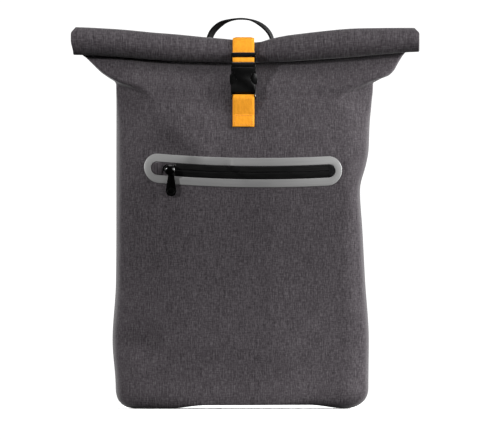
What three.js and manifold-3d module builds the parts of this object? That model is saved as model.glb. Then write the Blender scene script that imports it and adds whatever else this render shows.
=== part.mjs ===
// A roll-top waterproof backpack that stands on its base with the mouth rolled shut.
// Millimetres, +Z up, front towards -Y, right towards +X, origin on the floor under the middle.
import * as THREE from "three";
import { mergeVertices } from "three/addons/utils/BufferGeometryUtils.js";
import Module from "manifold-3d";

const wasm = await Module();
wasm.setup();

// Cloth and seating
const WALL = 1.2;
const SLIT = 0.6;
const SEAT = 0.35;
const HALF_COLLAR = WALL + SLIT / 2;
const CORNER_ROUND = 16;

// Base: a flat floor with a rounded edge
const BASE_RISE = 24;
const BASE_INSET_X = 0.155;
const BASE_INSET_MIDDLE = 0.46;
const BASE_INSET_CORNER = 0.3;
const BASE_INSET_BACK = 0.22;

// Rolled mouth: the flat collar turns forward about a line in front of it
const COLLAR_Y = 6.5;
const NECK_Z = 412;
const ROLL_Z = 424;
const ROLL_DEPTH = 25;
const ROLL_HEIGHT = 31.4;
const ROLL_PITCH = 3.6;
const ROLL_TURNS = 2.1;
const ROLL_STEPS = 10;
const ROLL_LEFT = 198;
const ROLL_RIGHT = 202;
const ROLL_TAPER = 0.06;
const ROLL_TRIM = 5;

// Sag of the collar and roll towards the strap in the middle
const SAG = 12.5;
const SAG_FLAT = 14;
const SAG_REACH = 138;
const SAG_FROM = 345;
const SAG_TO = 404;

// Sections of the sack from the top of the base edge to the neck
const SECTION_COLUMNS =
  ["z", "left", "right", "frontLeft", "frontRight", "front", "back", "side", "crown"];
const SECTIONS = table(SECTION_COLUMNS, [
  [24, 146, 141, 128, 122, -57, 58, 38, 8],
  [79, 150, 142, 133, 124, -61, 62, 42, 9],
  [148, 145.5, 138.6, 131, 122, -62, 62, 42, 9],
  [206, 145.5, 135, 131, 121, -62, 62, 42, 9],
  [252, 145.5, 131.7, 130, 119.5, -61, 62, 40, 9],
  [298, 145.5, 142, 127, 126, -58, 61, 36, 8],
  [330, 145.5, 143.5, 119, 122, -50, 58, 26, 7],
  [355, 145.5, 145.5, 110, 116, -38, 50, 15, 5],
  [376, 146, 148, 114, 120, -24, 38, 5, 3],
  [383, 157, 164, 124, 131, -18, 31, 2, 2.2],
  [390, 166, 170.5, 136, 142, -11.5, 25, 1.2, 1.5],
  [398, 174, 176, 150, 154, -4, 17.5, 0.9, 0.8],
  [406, 182, 182, 166, 167, 2.2, 11.4, 0.7, 0.3],
  [NECK_Z, 188, 188, 178, 178, COLLAR_Y - HALF_COLLAR, COLLAR_Y + HALF_COLLAR, 0.6, 0],
]);
const RING_SPACING_LOW = 40;
const RING_SPACING_HIGH = 13;
const RING_FINE_FROM = 290;
const FACE_STEPS = { front: 6, back: 3 };

// Folds and dents in the front wall: a line from one end to the other, positive stands out
const FOLDS = table(["x0", "z0", "x1", "z1", "width", "height"], [
  [-145, 377, -107, 355, 9, 4],
  [-107, 355, -40, 318, 15, 2.6],
  [-122, 339, -62, 313, 12, -3.6],
  [148, 378, 116, 361, 8, 4],
  [117, 357, 127, 364, 7, -3.4],
  [-143, 77, -105, 68, 15, -4.5],
  [125, 62, 92, 30, 34, -4],
]);

// Front pocket zip: its line dips in the middle
const ZIP = { left: -114.4, right: 113.5, z: 272.5, bow: 3.6, lean: -1.5, span: 100 };
const ZIP_FRAME = { half: 16.4, band: 9.3, end: 7.8, thick: 1, points: 24 };
const ZIP_TAPE = { half: 6.7, thick: 1.1, from: -79.5, coil: 0.5, steps: 14 };
const SLIDER = { x: -86.3, length: 13, width: 10.4, thick: 2.4, leg: 2, gap: 3.2, bar: 2 };
const PULLER = { length: 31.6, width: 12.2, neck: 7.2, thick: 1.8, eye: 1.95, ring: 3.6 };

// Closure: webbing, buckle and the lean of the buckle
const WEBBING = { width: 25, thick: 1.5 };
const BUCKLE = { y: -28.8, z: 397.7, lean: THREE.MathUtils.degToRad(25), half: 14.5, thick: 9 };
const BACK_ANCHOR = { top: 399, bottom: 356, steps: 11 };
const FRONT_ANCHOR = { top: 339, bottom: 325, steps: 3 };

// Grab handle behind the roll
const HANDLE = { x: -3, half: 33, top: 450, width: 20, thick: 2, low: 352, steps: 26 };

// Shoulder straps on the back
const STRAP = { x: 74, lean: THREE.MathUtils.degToRad(6), padWidth: 54, padThick: 9 };
const ADJUSTER = { width: 33, length: 27, thick: 4, rail: 3.6 };

function table(columns, rows) {
  return rows.map((row) => Object.fromEntries(row.map((value, i) => [columns[i], value])));
}

function clamp01(value) {
  return Math.min(1, Math.max(0, value));
}

function smooth(from, to, value) {
  const t = clamp01((value - from) / (to - from));
  return t * t * (3 - 2 * t);
}

// Slope of one column at a row, kept level at turning points
function slopeAt(i, key) {
  const last = SECTIONS.length - 1;
  if (i === 0 || i === last) return 0;
  const rise = (a, b) => (SECTIONS[b][key] - SECTIONS[a][key]) / (SECTIONS[b].z - SECTIONS[a].z);
  const before = rise(i - 1, i);
  const after = rise(i, i + 1);
  return before * after <= 0 ? 0 : (2 * before * after) / (before + after);
}

// Section at a height, from the rows above and below
function sectionAt(z) {
  let i = 0;
  while (i < SECTIONS.length - 2 && z > SECTIONS[i + 1].z) i += 1;
  const step = SECTIONS[i + 1].z - SECTIONS[i].z;
  const t = clamp01((z - SECTIONS[i].z) / step);
  const section = {};
  for (const key of SECTION_COLUMNS) {
    const a = SECTIONS[i][key];
    const b = SECTIONS[i + 1][key];
    const bend = t * (1 - t) * step;
    section[key] = a + (b - a) * t * t * (3 - 2 * t)
      + bend * ((1 - t) * slopeAt(i, key) - t * slopeAt(i + 1, key));
  }
  section.z = z;
  return section;
}

// How far the cloth stands out of its plain section at a point of the front
function foldAt(x, z) {
  let height = 0;
  for (const f of FOLDS) {
    const dx = f.x1 - f.x0;
    const dz = f.z1 - f.z0;
    const t = clamp01(((x - f.x0) * dx + (z - f.z0) * dz) / (dx * dx + dz * dz));
    const away = Math.hypot(x - f.x0 - t * dx, z - f.z0 - t * dz) / f.width;
    height += f.height * Math.exp(-away * away);
  }
  return height;
}

function sagAt(x) {
  const t = clamp01((Math.abs(x) - SAG_FLAT) / SAG_REACH);
  return -SAG * Math.pow(1 - t, 1.2);
}

function bend(a, corner, b, t) {
  const p = a.clone().lerp(corner, t);
  return p.lerp(corner.clone().lerp(b, t), t);
}

// Quarter of a section, from the middle of a face to just before the middle of a side
function quarter(s, face, sign, inset) {
  const toFront = face === "front";
  const outward = toFront ? -1 : 1;
  const middle = (s.front + s.back) / 2;
  const depth = Math.abs(s[face] - middle);
  const flat = 1 - s.side / depth;
  const tip = (sign > 0 ? s.right : s.left) - inset * (1 + 1.2 * flat);
  const edge = (sign > 0 ? s.frontRight : s.frontLeft) - inset * 0.6;
  const side = Math.max(0.15, s.side - inset * 0.7);
  const y = s[face] - outward * inset;
  const crown = toFront ? s.crown : 0;
  const mid = (s.frontRight - s.frontLeft) / 2;
  const half = (s.frontRight + s.frontLeft) / 2;
  const onFace = (x) => {
    const u = (x - mid) / half;
    return new THREE.Vector2(x, y + outward * crown * Math.max(0, 1 - u * u));
  };
  const b = new THREE.Vector2(sign * edge, y);
  const c = new THREE.Vector2(sign * tip, middle + outward * side);
  const d = new THREE.Vector2(sign * tip, middle);
  const reach = Math.min(CORNER_ROUND, b.distanceTo(c) * 0.42);
  const start = onFace(b.x - sign * reach);
  const points = [];
  for (let k = 0; k < FACE_STEPS[face]; k += 1) {
    points.push(onFace((start.x * k) / FACE_STEPS[face]));
  }
  const along = c.clone().sub(b).normalize();
  const afterB = b.clone().addScaledVector(along, reach);
  const beforeC = c.clone().addScaledVector(along, -Math.min(reach, 12));
  const afterC = c.clone().lerp(d, 0.8);
  for (const t of [0, 0.5, 1]) points.push(bend(start, b, afterB, t));
  for (const t of [0.15, 1]) points.push(bend(beforeC, c, afterC, t));
  return { points, end: d };
}

// Closed section, anticlockwise from the middle of the front as seen from above
function outline(section, inset) {
  const quarters = [
    [quarter(section, "front", 1, inset), quarter(section, "back", 1, inset)],
    [quarter(section, "back", -1, inset), quarter(section, "front", -1, inset)],
  ];
  const ring = [];
  for (const [going, coming] of quarters) {
    ring.push(...going.points, going.end, ...coming.points.slice(1).reverse());
  }
  return ring;
}

// Ring of the wall at a height, with its sag and folds
function wallRing(z, inset) {
  const section = sectionAt(z);
  const middle = (section.front + section.back) / 2;
  const drop = smooth(SAG_FROM, SAG_TO, z);
  return outline(section, inset).map((p) => {
    const height = z + drop * sagAt(p.x);
    const facing = clamp01((middle - p.y) / (middle - section.front));
    return new THREE.Vector3(p.x, p.y - facing * foldAt(p.x, height), height);
  });
}

// Ring of the rounded edge under the wall: turn 0 is the wall, turn 1 the floor
function baseRing(turn, inset) {
  const angle = (turn * Math.PI) / 2;
  const inward = 1 - Math.cos(angle);
  const low = inset;
  return wallRing(BASE_RISE, inset).map((p) => {
    const corner = smooth(40, 125, Math.abs(p.x));
    const ahead = BASE_INSET_MIDDLE + (BASE_INSET_CORNER - BASE_INSET_MIDDLE) * corner;
    const pull = p.y < 0 ? ahead : BASE_INSET_BACK;
    const z = low + (BASE_RISE - low) * (1 - Math.sin(angle));
    return new THREE.Vector3(p.x * (1 - BASE_INSET_X * inward), p.y * (1 - pull * inward), z);
  });
}

// Ring of the rolled collar after a turn, in radians from the back of the roll
function rollRing(turn, inset) {
  const shrink = (ROLL_PITCH * turn) / (2 * Math.PI);
  const a = ROLL_DEPTH / 2 - shrink;
  const b = ROLL_HEIGHT / 2 - shrink;
  const cos = Math.cos(turn);
  const sin = Math.sin(turn);
  const normal = new THREE.Vector2(b * cos, a * sin).normalize();
  const widen = Math.min(1, turn / (Math.PI / 2));
  return outline(sectionAt(NECK_Z), inset).map((p) => {
    const tip = p.x > 0 ? ROLL_RIGHT : ROLL_LEFT;
    const stretch = 1 + (tip / 188 - 1) * widen;
    const trim = ROLL_TRIM * Math.pow(Math.max(0, sin), 3) * smooth(150, 190, Math.abs(p.x));
    const x = p.x * stretch - Math.sign(p.x) * trim;
    const size = 1 - (ROLL_TAPER * (x + 200)) / 200;
    const offset = p.y - COLLAR_Y;
    const y = COLLAR_Y + size * (a * cos - ROLL_DEPTH / 2) + offset * normal.x;
    const z = NECK_Z + size * (ROLL_Z - NECK_Z + b * sin) + offset * normal.y;
    return new THREE.Vector3(x, y, z + sagAt(x));
  });
}

function ringHeights() {
  const heights = [];
  for (let i = 0; i + 1 < SECTIONS.length; i += 1) {
    const gap = SECTIONS[i + 1].z - SECTIONS[i].z;
    const spacing = SECTIONS[i].z > RING_FINE_FROM ? RING_SPACING_HIGH : RING_SPACING_LOW;
    const steps = Math.ceil(gap / spacing);
    for (let k = 0; k < steps; k += 1) heights.push(SECTIONS[i].z + (gap * k) / steps);
  }
  return [...heights, NECK_Z];
}

// Skin of the sack from the floor to the end of the roll
function skin(inset) {
  const rings = [1, 2 / 3, 1 / 3].map((turn) => baseRing(turn, inset));
  for (const z of ringHeights()) rings.push(wallRing(z, inset));
  const steps = Math.round(ROLL_TURNS * ROLL_STEPS);
  for (let k = 0; k <= steps; k += 1) {
    rings.push(rollRing((2 * Math.PI * k) / ROLL_STEPS, inset));
  }
  return rings;
}

// Hollow sack: outer skin, inner skin, floor of each and the rim of the mouth inside the roll
function sackGeometry() {
  const outer = skin(0);
  const inner = skin(WALL);
  const count = outer[0].length;
  const rings = [...outer, ...inner.reverse()];
  const index = [];
  for (let j = 0; j + 1 < rings.length; j += 1) {
    for (let i = 0; i < count; i += 1) {
      const a = j * count + i;
      const b = j * count + ((i + 1) % count);
      index.push(a, b, b + count, a, b + count, a + count);
    }
  }
  const last = (rings.length - 1) * count;
  const flat = outer[0].map((p) => new THREE.Vector2(p.x, p.y));
  for (const [a, b, c] of THREE.ShapeUtils.triangulateShape(flat, [])) {
    index.push(a, c, b, last + a, last + b, last + c);
  }
  const geometry = new THREE.BufferGeometry().setFromPoints(rings.flat());
  geometry.setIndex(index);
  return geometry;
}

// Solids to and from the joining and cutting library
function toSolid(geometry) {
  const bare = geometry.clone();
  bare.deleteAttribute("normal");
  bare.deleteAttribute("uv");
  const merged = mergeVertices(bare, 1e-4);
  return new wasm.Manifold(new wasm.Mesh({
    numProp: 3,
    vertProperties: new Float32Array(merged.attributes.position.array),
    triVerts: new Uint32Array(merged.index.array),
  }));
}

function fromSolid(solid) {
  const mesh = solid.getMesh();
  const geometry = new THREE.BufferGeometry();
  geometry.setAttribute("position", new THREE.BufferAttribute(new Float32Array(mesh.vertProperties), 3));
  geometry.setIndex(new THREE.BufferAttribute(new Uint32Array(mesh.triVerts), 1));
  return geometry;
}

function join(...geometries) {
  return fromSolid(wasm.Manifold.union(geometries.map(toSolid)));
}

function cut(geometry, ...tools) {
  return fromSolid(toSolid(geometry).subtract(wasm.Manifold.union(tools.map(toSolid))));
}

function block(x0, x1, y0, y1, z0, z1) {
  const geometry = new THREE.BoxGeometry(x1 - x0, y1 - y0, z1 - z0);
  return geometry.translate((x0 + x1) / 2, (y0 + y1) / 2, (z0 + z1) / 2);
}

function slab(shape, z0, z1, bevel = 0) {
  const geometry = new THREE.ExtrudeGeometry(shape, {
    depth: z1 - z0 - 2 * bevel,
    bevelEnabled: bevel > 0,
    bevelSize: bevel,
    bevelOffset: -bevel,
    bevelThickness: bevel,
    bevelSegments: 1,
    curveSegments: 5,
  });
  return geometry.translate(0, 0, z0 + bevel);
}

function drum(x, y, radius, z0, z1, segments) {
  const geometry = new THREE.CylinderGeometry(radius, radius, z1 - z0, segments);
  return geometry.rotateX(Math.PI / 2).translate(x, y, (z0 + z1) / 2);
}

function roundedRect(x0, x1, y0, y1, radius) {
  const shape = new THREE.Shape();
  shape.moveTo(x0 + radius, y0);
  shape.lineTo(x1 - radius, y0);
  shape.absarc(x1 - radius, y0 + radius, radius, -Math.PI / 2, 0, false);
  shape.absarc(x1 - radius, y1 - radius, radius, 0, Math.PI / 2, false);
  shape.absarc(x0 + radius, y1 - radius, radius, Math.PI / 2, Math.PI, false);
  shape.absarc(x0 + radius, y0 + radius, radius, Math.PI, Math.PI * 1.5, false);
  return shape;
}

// Outline of a strip of even thickness along a path, as a shape
function stripShape(path, thick) {
  const sides = [[], []];
  path.forEach((p, i) => {
    const before = p.clone().sub(path[Math.max(0, i - 1)]);
    const after = path[Math.min(path.length - 1, i + 1)].clone().sub(p);
    const u = (i > 0 ? before : after).clone().normalize();
    const v = (i + 1 < path.length ? after : before).clone().normalize();
    const normal = new THREE.Vector2(-u.y - v.y, u.x + v.x).normalize();
    const reach = thick / 2 / Math.max(0.5, normal.dot(new THREE.Vector2(-u.y, u.x)));
    sides[0].push(p.clone().addScaledVector(normal, -reach));
    sides[1].push(p.clone().addScaledVector(normal, reach));
  });
  return new THREE.Shape([...sides[0], ...sides[1].reverse()]);
}

// Strip lying in the plane of depth and height, extruded across to its width
const DEPTH_HEIGHT = new THREE.Matrix4().makeBasis(
  new THREE.Vector3(0, 1, 0), new THREE.Vector3(0, 0, 1), new THREE.Vector3(1, 0, 0));

function crossStrip(path, thick, width, bevel = 0) {
  return slab(stripShape(path, thick), -width / 2, width / 2, bevel).applyMatrix4(DEPTH_HEIGHT);
}

const root = new THREE.Group();
root.name = "backpack";

function add(name, geometry, colour, roughness, parent = root) {
  const material = new THREE.MeshStandardMaterial({ color: colour, roughness });
  const mesh = new THREE.Mesh(geometry, material);
  mesh.name = name;
  parent.add(mesh);
  return mesh;
}

const CLOTH = 0x4d494c;
const ORANGE = 0xf29b2e;
const BLACK = 0x121112;
const SILVER = 0x9a9a9a;

const shell = add("body_shell", sackGeometry(), CLOTH, 0.9);
shell.material.side = THREE.DoubleSide;

// Where the sack's outer face stands, looked at from the front or the back
const ray = new THREE.Raycaster();

function faceY(x, z, from) {
  ray.set(new THREE.Vector3(x, from * 400, z), new THREE.Vector3(0, -from, 0));
  return ray.intersectObject(shell)[0].point.y;
}

function frontY(x, z) {
  return faceY(x, z, -1);
}

// Farthest the face stands out across a strip that lies on it
function proud(z, halfWidth, from, centre = 0) {
  let best = -Infinity;
  for (let k = -4; k <= 4; k += 1) {
    best = Math.max(best, from * faceY(centre + (k * halfWidth) / 4, z, from));
  }
  return from * best;
}

function zipZ(x) {
  const u = x / ZIP.span;
  return ZIP.z + ZIP.bow * u * u + ZIP.lean * u;
}

// Flat piece laid on the front wall, from strips of points that run side by side
function onFront(strips, lift, thick, closed) {
  const rows = strips[0].length;
  const columns = strips.length;
  const points = [];
  for (const height of [lift + thick, lift]) {
    for (const strip of strips) {
      for (const [x, dz] of strip) {
        const z = zipZ(x) + dz;
        points.push(new THREE.Vector3(x, frontY(x, z) - height, z));
      }
    }
  }
  const at = (layer, column, row) => (layer * columns + column) * rows + (row % rows);
  const index = [];
  const quad = (a, b, c, d) => index.push(a, b, c, a, c, d);
  const steps = closed ? rows : rows - 1;
  for (let r = 0; r < steps; r += 1) {
    for (let c = 0; c + 1 < columns; c += 1) {
      quad(at(0, c, r), at(0, c, r + 1), at(0, c + 1, r + 1), at(0, c + 1, r));
      quad(at(1, c, r), at(1, c + 1, r), at(1, c + 1, r + 1), at(1, c, r + 1));
    }
    const e = columns - 1;
    quad(at(0, e, r), at(0, e, r + 1), at(1, e, r + 1), at(1, e, r));
    quad(at(0, 0, r), at(1, 0, r), at(1, 0, r + 1), at(0, 0, r + 1));
  }
  for (let c = 0; c + 1 < columns && !closed; c += 1) {
    const e = rows - 1;
    quad(at(0, c, 0), at(0, c + 1, 0), at(1, c + 1, 0), at(1, c, 0));
    quad(at(0, c, e), at(1, c, e), at(1, c + 1, e), at(0, c + 1, e));
  }
  const geometry = new THREE.BufferGeometry().setFromPoints(points);
  geometry.setIndex(index);
  return geometry;
}

// Stadium outline of the zip, clockwise from the left end of its top side
function stadium(x0, x1, half, points) {
  const r = half * 0.96;
  const ends = points / 4;
  const list = [];
  for (let k = 0; k < points / 2; k += 1) {
    list.push([x0 + r + ((x1 - x0 - 2 * r) * k) / (points / 2), half]);
  }
  for (let k = 0; k < ends; k += 1) {
    const a = Math.PI / 2 - (Math.PI * k) / ends;
    list.push([x1 - r + r * Math.cos(a), half * Math.sin(a)]);
  }
  for (let k = 0; k < points / 2; k += 1) {
    list.push([x1 - r - ((x1 - x0 - 2 * r) * k) / (points / 2), -half]);
  }
  for (let k = 0; k < ends; k += 1) {
    const a = -Math.PI / 2 - (Math.PI * k) / ends;
    list.push([x0 + r + r * Math.cos(a), half * Math.sin(a)]);
  }
  return list;
}

// Zip frame, the two tapes and the patch at the left end
const zipOuter = stadium(ZIP.left, ZIP.right, ZIP_FRAME.half, ZIP_FRAME.points);
const windowHalf = ZIP_FRAME.half - ZIP_FRAME.band;
const windowLeft = ZIP.left + ZIP_FRAME.end;
const windowRight = ZIP.right - ZIP_FRAME.end;
const zipInner = stadium(windowLeft, windowRight, windowHalf, ZIP_FRAME.points);
add("zip_frame", onFront([zipInner, zipOuter], SEAT, ZIP_FRAME.thick, true), SILVER, 0.45);

function tapeStrips(x0, x1, side) {
  const strips = [[], []];
  for (let k = 0; k <= ZIP_TAPE.steps; k += 1) {
    const x = x0 + ((x1 - x0) * k) / ZIP_TAPE.steps;
    const into = clamp01((x - (windowRight - SEAT - ZIP_TAPE.half)) / ZIP_TAPE.half);
    const high = Math.max(ZIP_TAPE.coil, ZIP_TAPE.half * Math.sqrt(1 - into * into * 0.96));
    strips[0].push([x, side > 0 ? ZIP_TAPE.coil / 2 : -high]);
    strips[1].push([x, side > 0 ? high : -ZIP_TAPE.coil / 2]);
  }
  return strips;
}

const tapeEnd = windowRight - SEAT * 1.6;
add("zip_tape_upper", onFront(tapeStrips(ZIP_TAPE.from, tapeEnd, 1), SEAT, ZIP_TAPE.thick), BLACK, 0.6);
add("zip_tape_lower", onFront(tapeStrips(ZIP_TAPE.from, tapeEnd, -1), SEAT, ZIP_TAPE.thick), BLACK, 0.6);

function garageStrips() {
  const strips = [[], []];
  const x0 = windowLeft + SEAT * 1.6;
  const x1 = SLIDER.x - SLIDER.length / 2 - 0.5;
  for (let k = 0; k <= 6; k += 1) {
    const x = x0 + ((x1 - x0) * k) / 6;
    const into = clamp01((x0 + ZIP_TAPE.half - x) / ZIP_TAPE.half);
    const high = Math.max(ZIP_TAPE.coil, ZIP_TAPE.half * Math.sqrt(1 - into * into * 0.96));
    strips[0].push([x, -high]);
    strips[1].push([x, high]);
  }
  return strips;
}

add("zip_garage", onFront(garageStrips(), SEAT, ZIP_TAPE.thick), CLOTH, 0.9);

// Slider: a plate with a nose and a bail, in a frame that lies on the wall
function wallFrame(x, z) {
  const rise = (frontY(x + 6, z) - frontY(x - 6, z)) / 12;
  const across = new THREE.Vector3(1, rise, 0).normalize();
  const up = new THREE.Vector3(0, 0, 1);
  const out = across.clone().cross(up);
  const group = new THREE.Group();
  group.quaternion.setFromRotationMatrix(new THREE.Matrix4().makeBasis(across, up, out));
  group.position.set(x, frontY(x, z), z);
  root.add(group);
  return group;
}

function sliderGeometry() {
  const half = SLIDER.length / 2;
  const wide = SLIDER.width / 2;
  const plate = new THREE.Shape();
  plate.moveTo(-half, -wide * 0.36);
  plate.lineTo(-half * 0.35, -wide);
  plate.lineTo(half * 0.8, -wide);
  plate.lineTo(half, -wide * 0.7);
  plate.lineTo(half, wide * 0.7);
  plate.lineTo(half * 0.8, wide);
  plate.lineTo(-half * 0.35, wide);
  plate.lineTo(-half, wide * 0.36);
  const low = 0.6;
  const top = low + SLIDER.thick;
  const bail = new THREE.Shape();
  const reach = 3.5 + SLIDER.leg / 2;
  const height = SLIDER.gap + SLIDER.bar;
  bail.moveTo(-reach, -0.5);
  bail.lineTo(-reach + SLIDER.leg, -0.5);
  bail.lineTo(-reach + SLIDER.leg, SLIDER.gap);
  bail.lineTo(reach - SLIDER.leg, SLIDER.gap);
  bail.lineTo(reach - SLIDER.leg, -0.5);
  bail.lineTo(reach, -0.5);
  bail.lineTo(reach, height - 1.2);
  bail.lineTo(reach - 1.2, height);
  bail.lineTo(-reach + 1.2, height);
  bail.lineTo(-reach, height - 1.2);
  const arch = slab(bail, -1.1, 1.1).rotateX(Math.PI / 2).translate(0, 0, top);
  return join(slab(plate, low, top, 0.5), arch);
}

const sliderFrame = wallFrame(SLIDER.x, zipZ(SLIDER.x));
add("zip_slider", sliderGeometry(), BLACK, 0.25, sliderFrame);

// Puller: an eye round the bail's right leg and a drop-shaped tab below it
function pullerGeometry() {
  const low = -PULLER.length;
  const wide = PULLER.width / 2;
  const neck = PULLER.neck / 2;
  const shape = new THREE.Shape();
  shape.moveTo(-neck, 0);
  shape.lineTo(-neck, -6);
  shape.bezierCurveTo(-neck, -14, -wide, -18, -wide, low + wide + 1.5);
  shape.bezierCurveTo(-wide, low + 1.2, -wide * 0.6, low, 0, low);
  shape.bezierCurveTo(wide * 0.6, low, wide, low + 1.2, wide, low + wide + 1.5);
  shape.bezierCurveTo(wide, -18, neck, -14, neck, -6);
  shape.lineTo(neck, 0);
  shape.absarc(0, 0, neck, 0, Math.PI, false);
  const from = 0.6 + SLIDER.thick + (SLIDER.gap - PULLER.thick) / 2;
  const tab = slab(shape, from, from + PULLER.thick, 0.4);
  const eye = drum(0, 0, PULLER.eye, from - 1, from + PULLER.thick + 1, 12);
  const groove = cut(
    drum(0, low + wide + 0.5, 4.2, from + PULLER.thick - 0.5, from + PULLER.thick + 1, 16),
    drum(0, low + wide + 0.5, 3, from, from + PULLER.thick + 2, 16));
  return cut(tab, eye, groove).translate(3.5, 0, 0);
}

add("zip_puller", pullerGeometry(), BLACK, 0.3, sliderFrame);

// Buckle frame: x across, y up the webbing, z out of the face
const buckleFrame = new THREE.Group();
buckleFrame.rotation.x = Math.PI / 2 - BUCKLE.lean;
buckleFrame.position.set(0, BUCKLE.y, BUCKLE.z);
root.add(buckleFrame);

function buckleToWorld(up, out) {
  const sin = Math.sin(BUCKLE.lean);
  const cos = Math.cos(BUCKLE.lean);
  return new THREE.Vector2(BUCKLE.y + up * sin - out * cos, BUCKLE.z + up * cos + out * sin);
}

// Stations along the buckle, up from the foot of the webbing window
const SOCKET = { mouth: -5.5, floor: -34, slotTop: -38.4, slotLow: -41.4, end: -44.4 };
const PAD = { y: -20, scallop: 9.7, centre: 17.6, reach: 15.9 };
const LADDER = { foot: 0.6, barLow: 2.9, barTop: 5.9, headLow: 8.3, head: 14 };
const WINDOW_HALF = 12.95;

function socketGeometry() {
  const h = BUCKLE.half;
  const t = BUCKLE.thick / 2;
  const body = slab(roundedRect(-h, h, SOCKET.end, SOCKET.mouth, 2.4), -t, t, 0.9);
  return cut(
    body,
    block(-12.2, 12.2, SOCKET.floor, SOCKET.mouth + 1, -2.8, 2.8),
    drum(PAD.centre, PAD.y, PAD.scallop, -t - 1, t + 1, 32),
    drum(-PAD.centre, PAD.y, PAD.scallop, -t - 1, t + 1, 32),
    block(-WINDOW_HALF, WINDOW_HALF, SOCKET.slotLow, SOCKET.slotTop, -t - 1, t + 1),
    block(-WINDOW_HALF, WINDOW_HALF, SOCKET.end - 1, SOCKET.slotTop, 1.8, t + 1),
    block(-WINDOW_HALF, WINDOW_HALF, SOCKET.end - 1, SOCKET.slotTop, -t - 1, -1.8),
  );
}

function armShape(sign) {
  const shape = new THREE.Shape();
  shape.moveTo(sign * 8.4, SOCKET.mouth + 2);
  shape.lineTo(sign * 11.8, SOCKET.mouth + 2);
  shape.lineTo(sign * 11.8, PAD.y + 7.4);
  shape.lineTo(sign * 13.6, PAD.y + 6.9);
  shape.lineTo(sign * PAD.reach, PAD.y + 5);
  shape.lineTo(sign * PAD.reach, PAD.y - 5);
  shape.lineTo(sign * 13.6, PAD.y - 6.9);
  shape.lineTo(sign * 11.8, PAD.y - 7.4);
  shape.lineTo(sign * 9.6, PAD.y - 9.6);
  shape.lineTo(sign * 8.4, PAD.y - 8);
  return shape;
}

function prongGeometry() {
  const h = BUCKLE.half;
  const ladder = slab(roundedRect(-h, h, SOCKET.mouth + 1, LADDER.head, 2), -2.2, 2.2, 0.6);
  const windows = [
    block(-WINDOW_HALF, WINDOW_HALF, LADDER.foot, LADDER.barLow, -4, 4),
    block(-WINDOW_HALF, WINDOW_HALF, LADDER.barTop, LADDER.headLow, -4, 4),
    block(-WINDOW_HALF, WINDOW_HALF, LADDER.foot, LADDER.headLow, 0.4, 4),
  ];
  const foot = slab(roundedRect(-h, h, SOCKET.mouth + 0.3, LADDER.foot, 1.5), -4.2, 4.2, 0.7);
  const guide = block(-2.4, 2.4, PAD.y - 6, SOCKET.mouth + 2, -2.2, 2.2);
  const arms = [1, -1].map((sign) => slab(armShape(sign), -2.4, 2.4));
  return join(cut(ladder, ...windows), foot, guide, ...arms);
}

add("buckle_socket", socketGeometry(), BLACK, 0.35, buckleFrame);
add("buckle_prong", prongGeometry(), BLACK, 0.35, buckleFrame);

// Middle line of the roll under the strap, and how far the roll stands out from it
function rollMiddle() {
  const size = 1 - ROLL_TAPER;
  const y = COLLAR_Y - (size * ROLL_DEPTH) / 2;
  return new THREE.Vector2(y, NECK_Z + size * (ROLL_Z - NECK_Z) - SAG);
}

function rollReach(middle, aim) {
  let reach = 0;
  for (let k = -4; k <= 4; k += 1) {
    const x = (k * WEBBING.width) / 8;
    const from = new THREE.Vector3(x, middle.x + 60 * aim.x, middle.y + 60 * aim.y);
    ray.set(from, new THREE.Vector3(0, -aim.x, -aim.y));
    reach = Math.max(reach, 60 - ray.intersectObject(shell)[0].distance);
  }
  return reach;
}

// Upper closure strap: up the back wall, over the roll, round the bar of the prong half
function upperStrapPath() {
  const path = [];
  const out = SEAT + WEBBING.thick / 2;
  const loose = out + 0.55;
  for (let k = 0; k < BACK_ANCHOR.steps; k += 1) {
    const u = k / (BACK_ANCHOR.steps - 1);
    const z = BACK_ANCHOR.bottom + (BACK_ANCHOR.top - BACK_ANCHOR.bottom) * u;
    path.push(new THREE.Vector2(proud(z, WEBBING.width / 2, 1) + loose, z));
  }
  const middle = rollMiddle();
  for (let k = 0; k <= ROLL_STEPS; k += 1) {
    const angle = (Math.PI * k) / ROLL_STEPS;
    const aim = new THREE.Vector2(Math.cos(angle), Math.sin(angle));
    path.push(middle.clone().addScaledVector(aim, rollReach(middle, aim) + loose));
  }
  const behind = -2.2 - out;
  const before = 0.4 + out;
  const slotHigh = (LADDER.barTop + LADDER.headLow) / 2;
  const slotLow = (LADDER.foot + LADDER.barLow) / 2;
  const stops = [[LADDER.head - 1, behind], [slotHigh, behind], [slotHigh, before],
    [slotLow, before], [slotLow, behind], [LADDER.barTop - 1.2, behind]];
  for (const [up, o] of stops) path.push(buckleToWorld(up, o));
  return path;
}

add("closure_strap_upper", crossStrip(upperStrapPath(), WEBBING.thick, WEBBING.width), ORANGE, 0.8);

// Lower closure strap: from the front wall to the socket's bar and back behind it
function lowerStrapPath() {
  const path = [];
  const out = SEAT + WEBBING.thick / 2;
  for (let k = 0; k < FRONT_ANCHOR.steps; k += 1) {
    const u = k / (FRONT_ANCHOR.steps - 1);
    const z = FRONT_ANCHOR.bottom + (FRONT_ANCHOR.top - FRONT_ANCHOR.bottom) * u;
    path.push(new THREE.Vector2(proud(z, WEBBING.width / 2, -1) - out, z));
  }
  const over = 1.8 + out;
  const slot = (SOCKET.slotTop + SOCKET.slotLow) / 2;
  for (const [up, o] of [[SOCKET.end - 1.5, over], [slot, over], [slot, -over], [SOCKET.end - 1.5, -over]]) {
    path.push(buckleToWorld(up, o));
  }
  const end = path[path.length - 1];
  const z = end.y - 8;
  path.push(new THREE.Vector2(Math.min(end.x - 1, proud(z, WEBBING.width / 2, -1) - out), z));
  return path;
}

add("closure_strap_lower", crossStrip(lowerStrapPath(), WEBBING.thick, WEBBING.width), ORANGE, 0.8);

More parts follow.
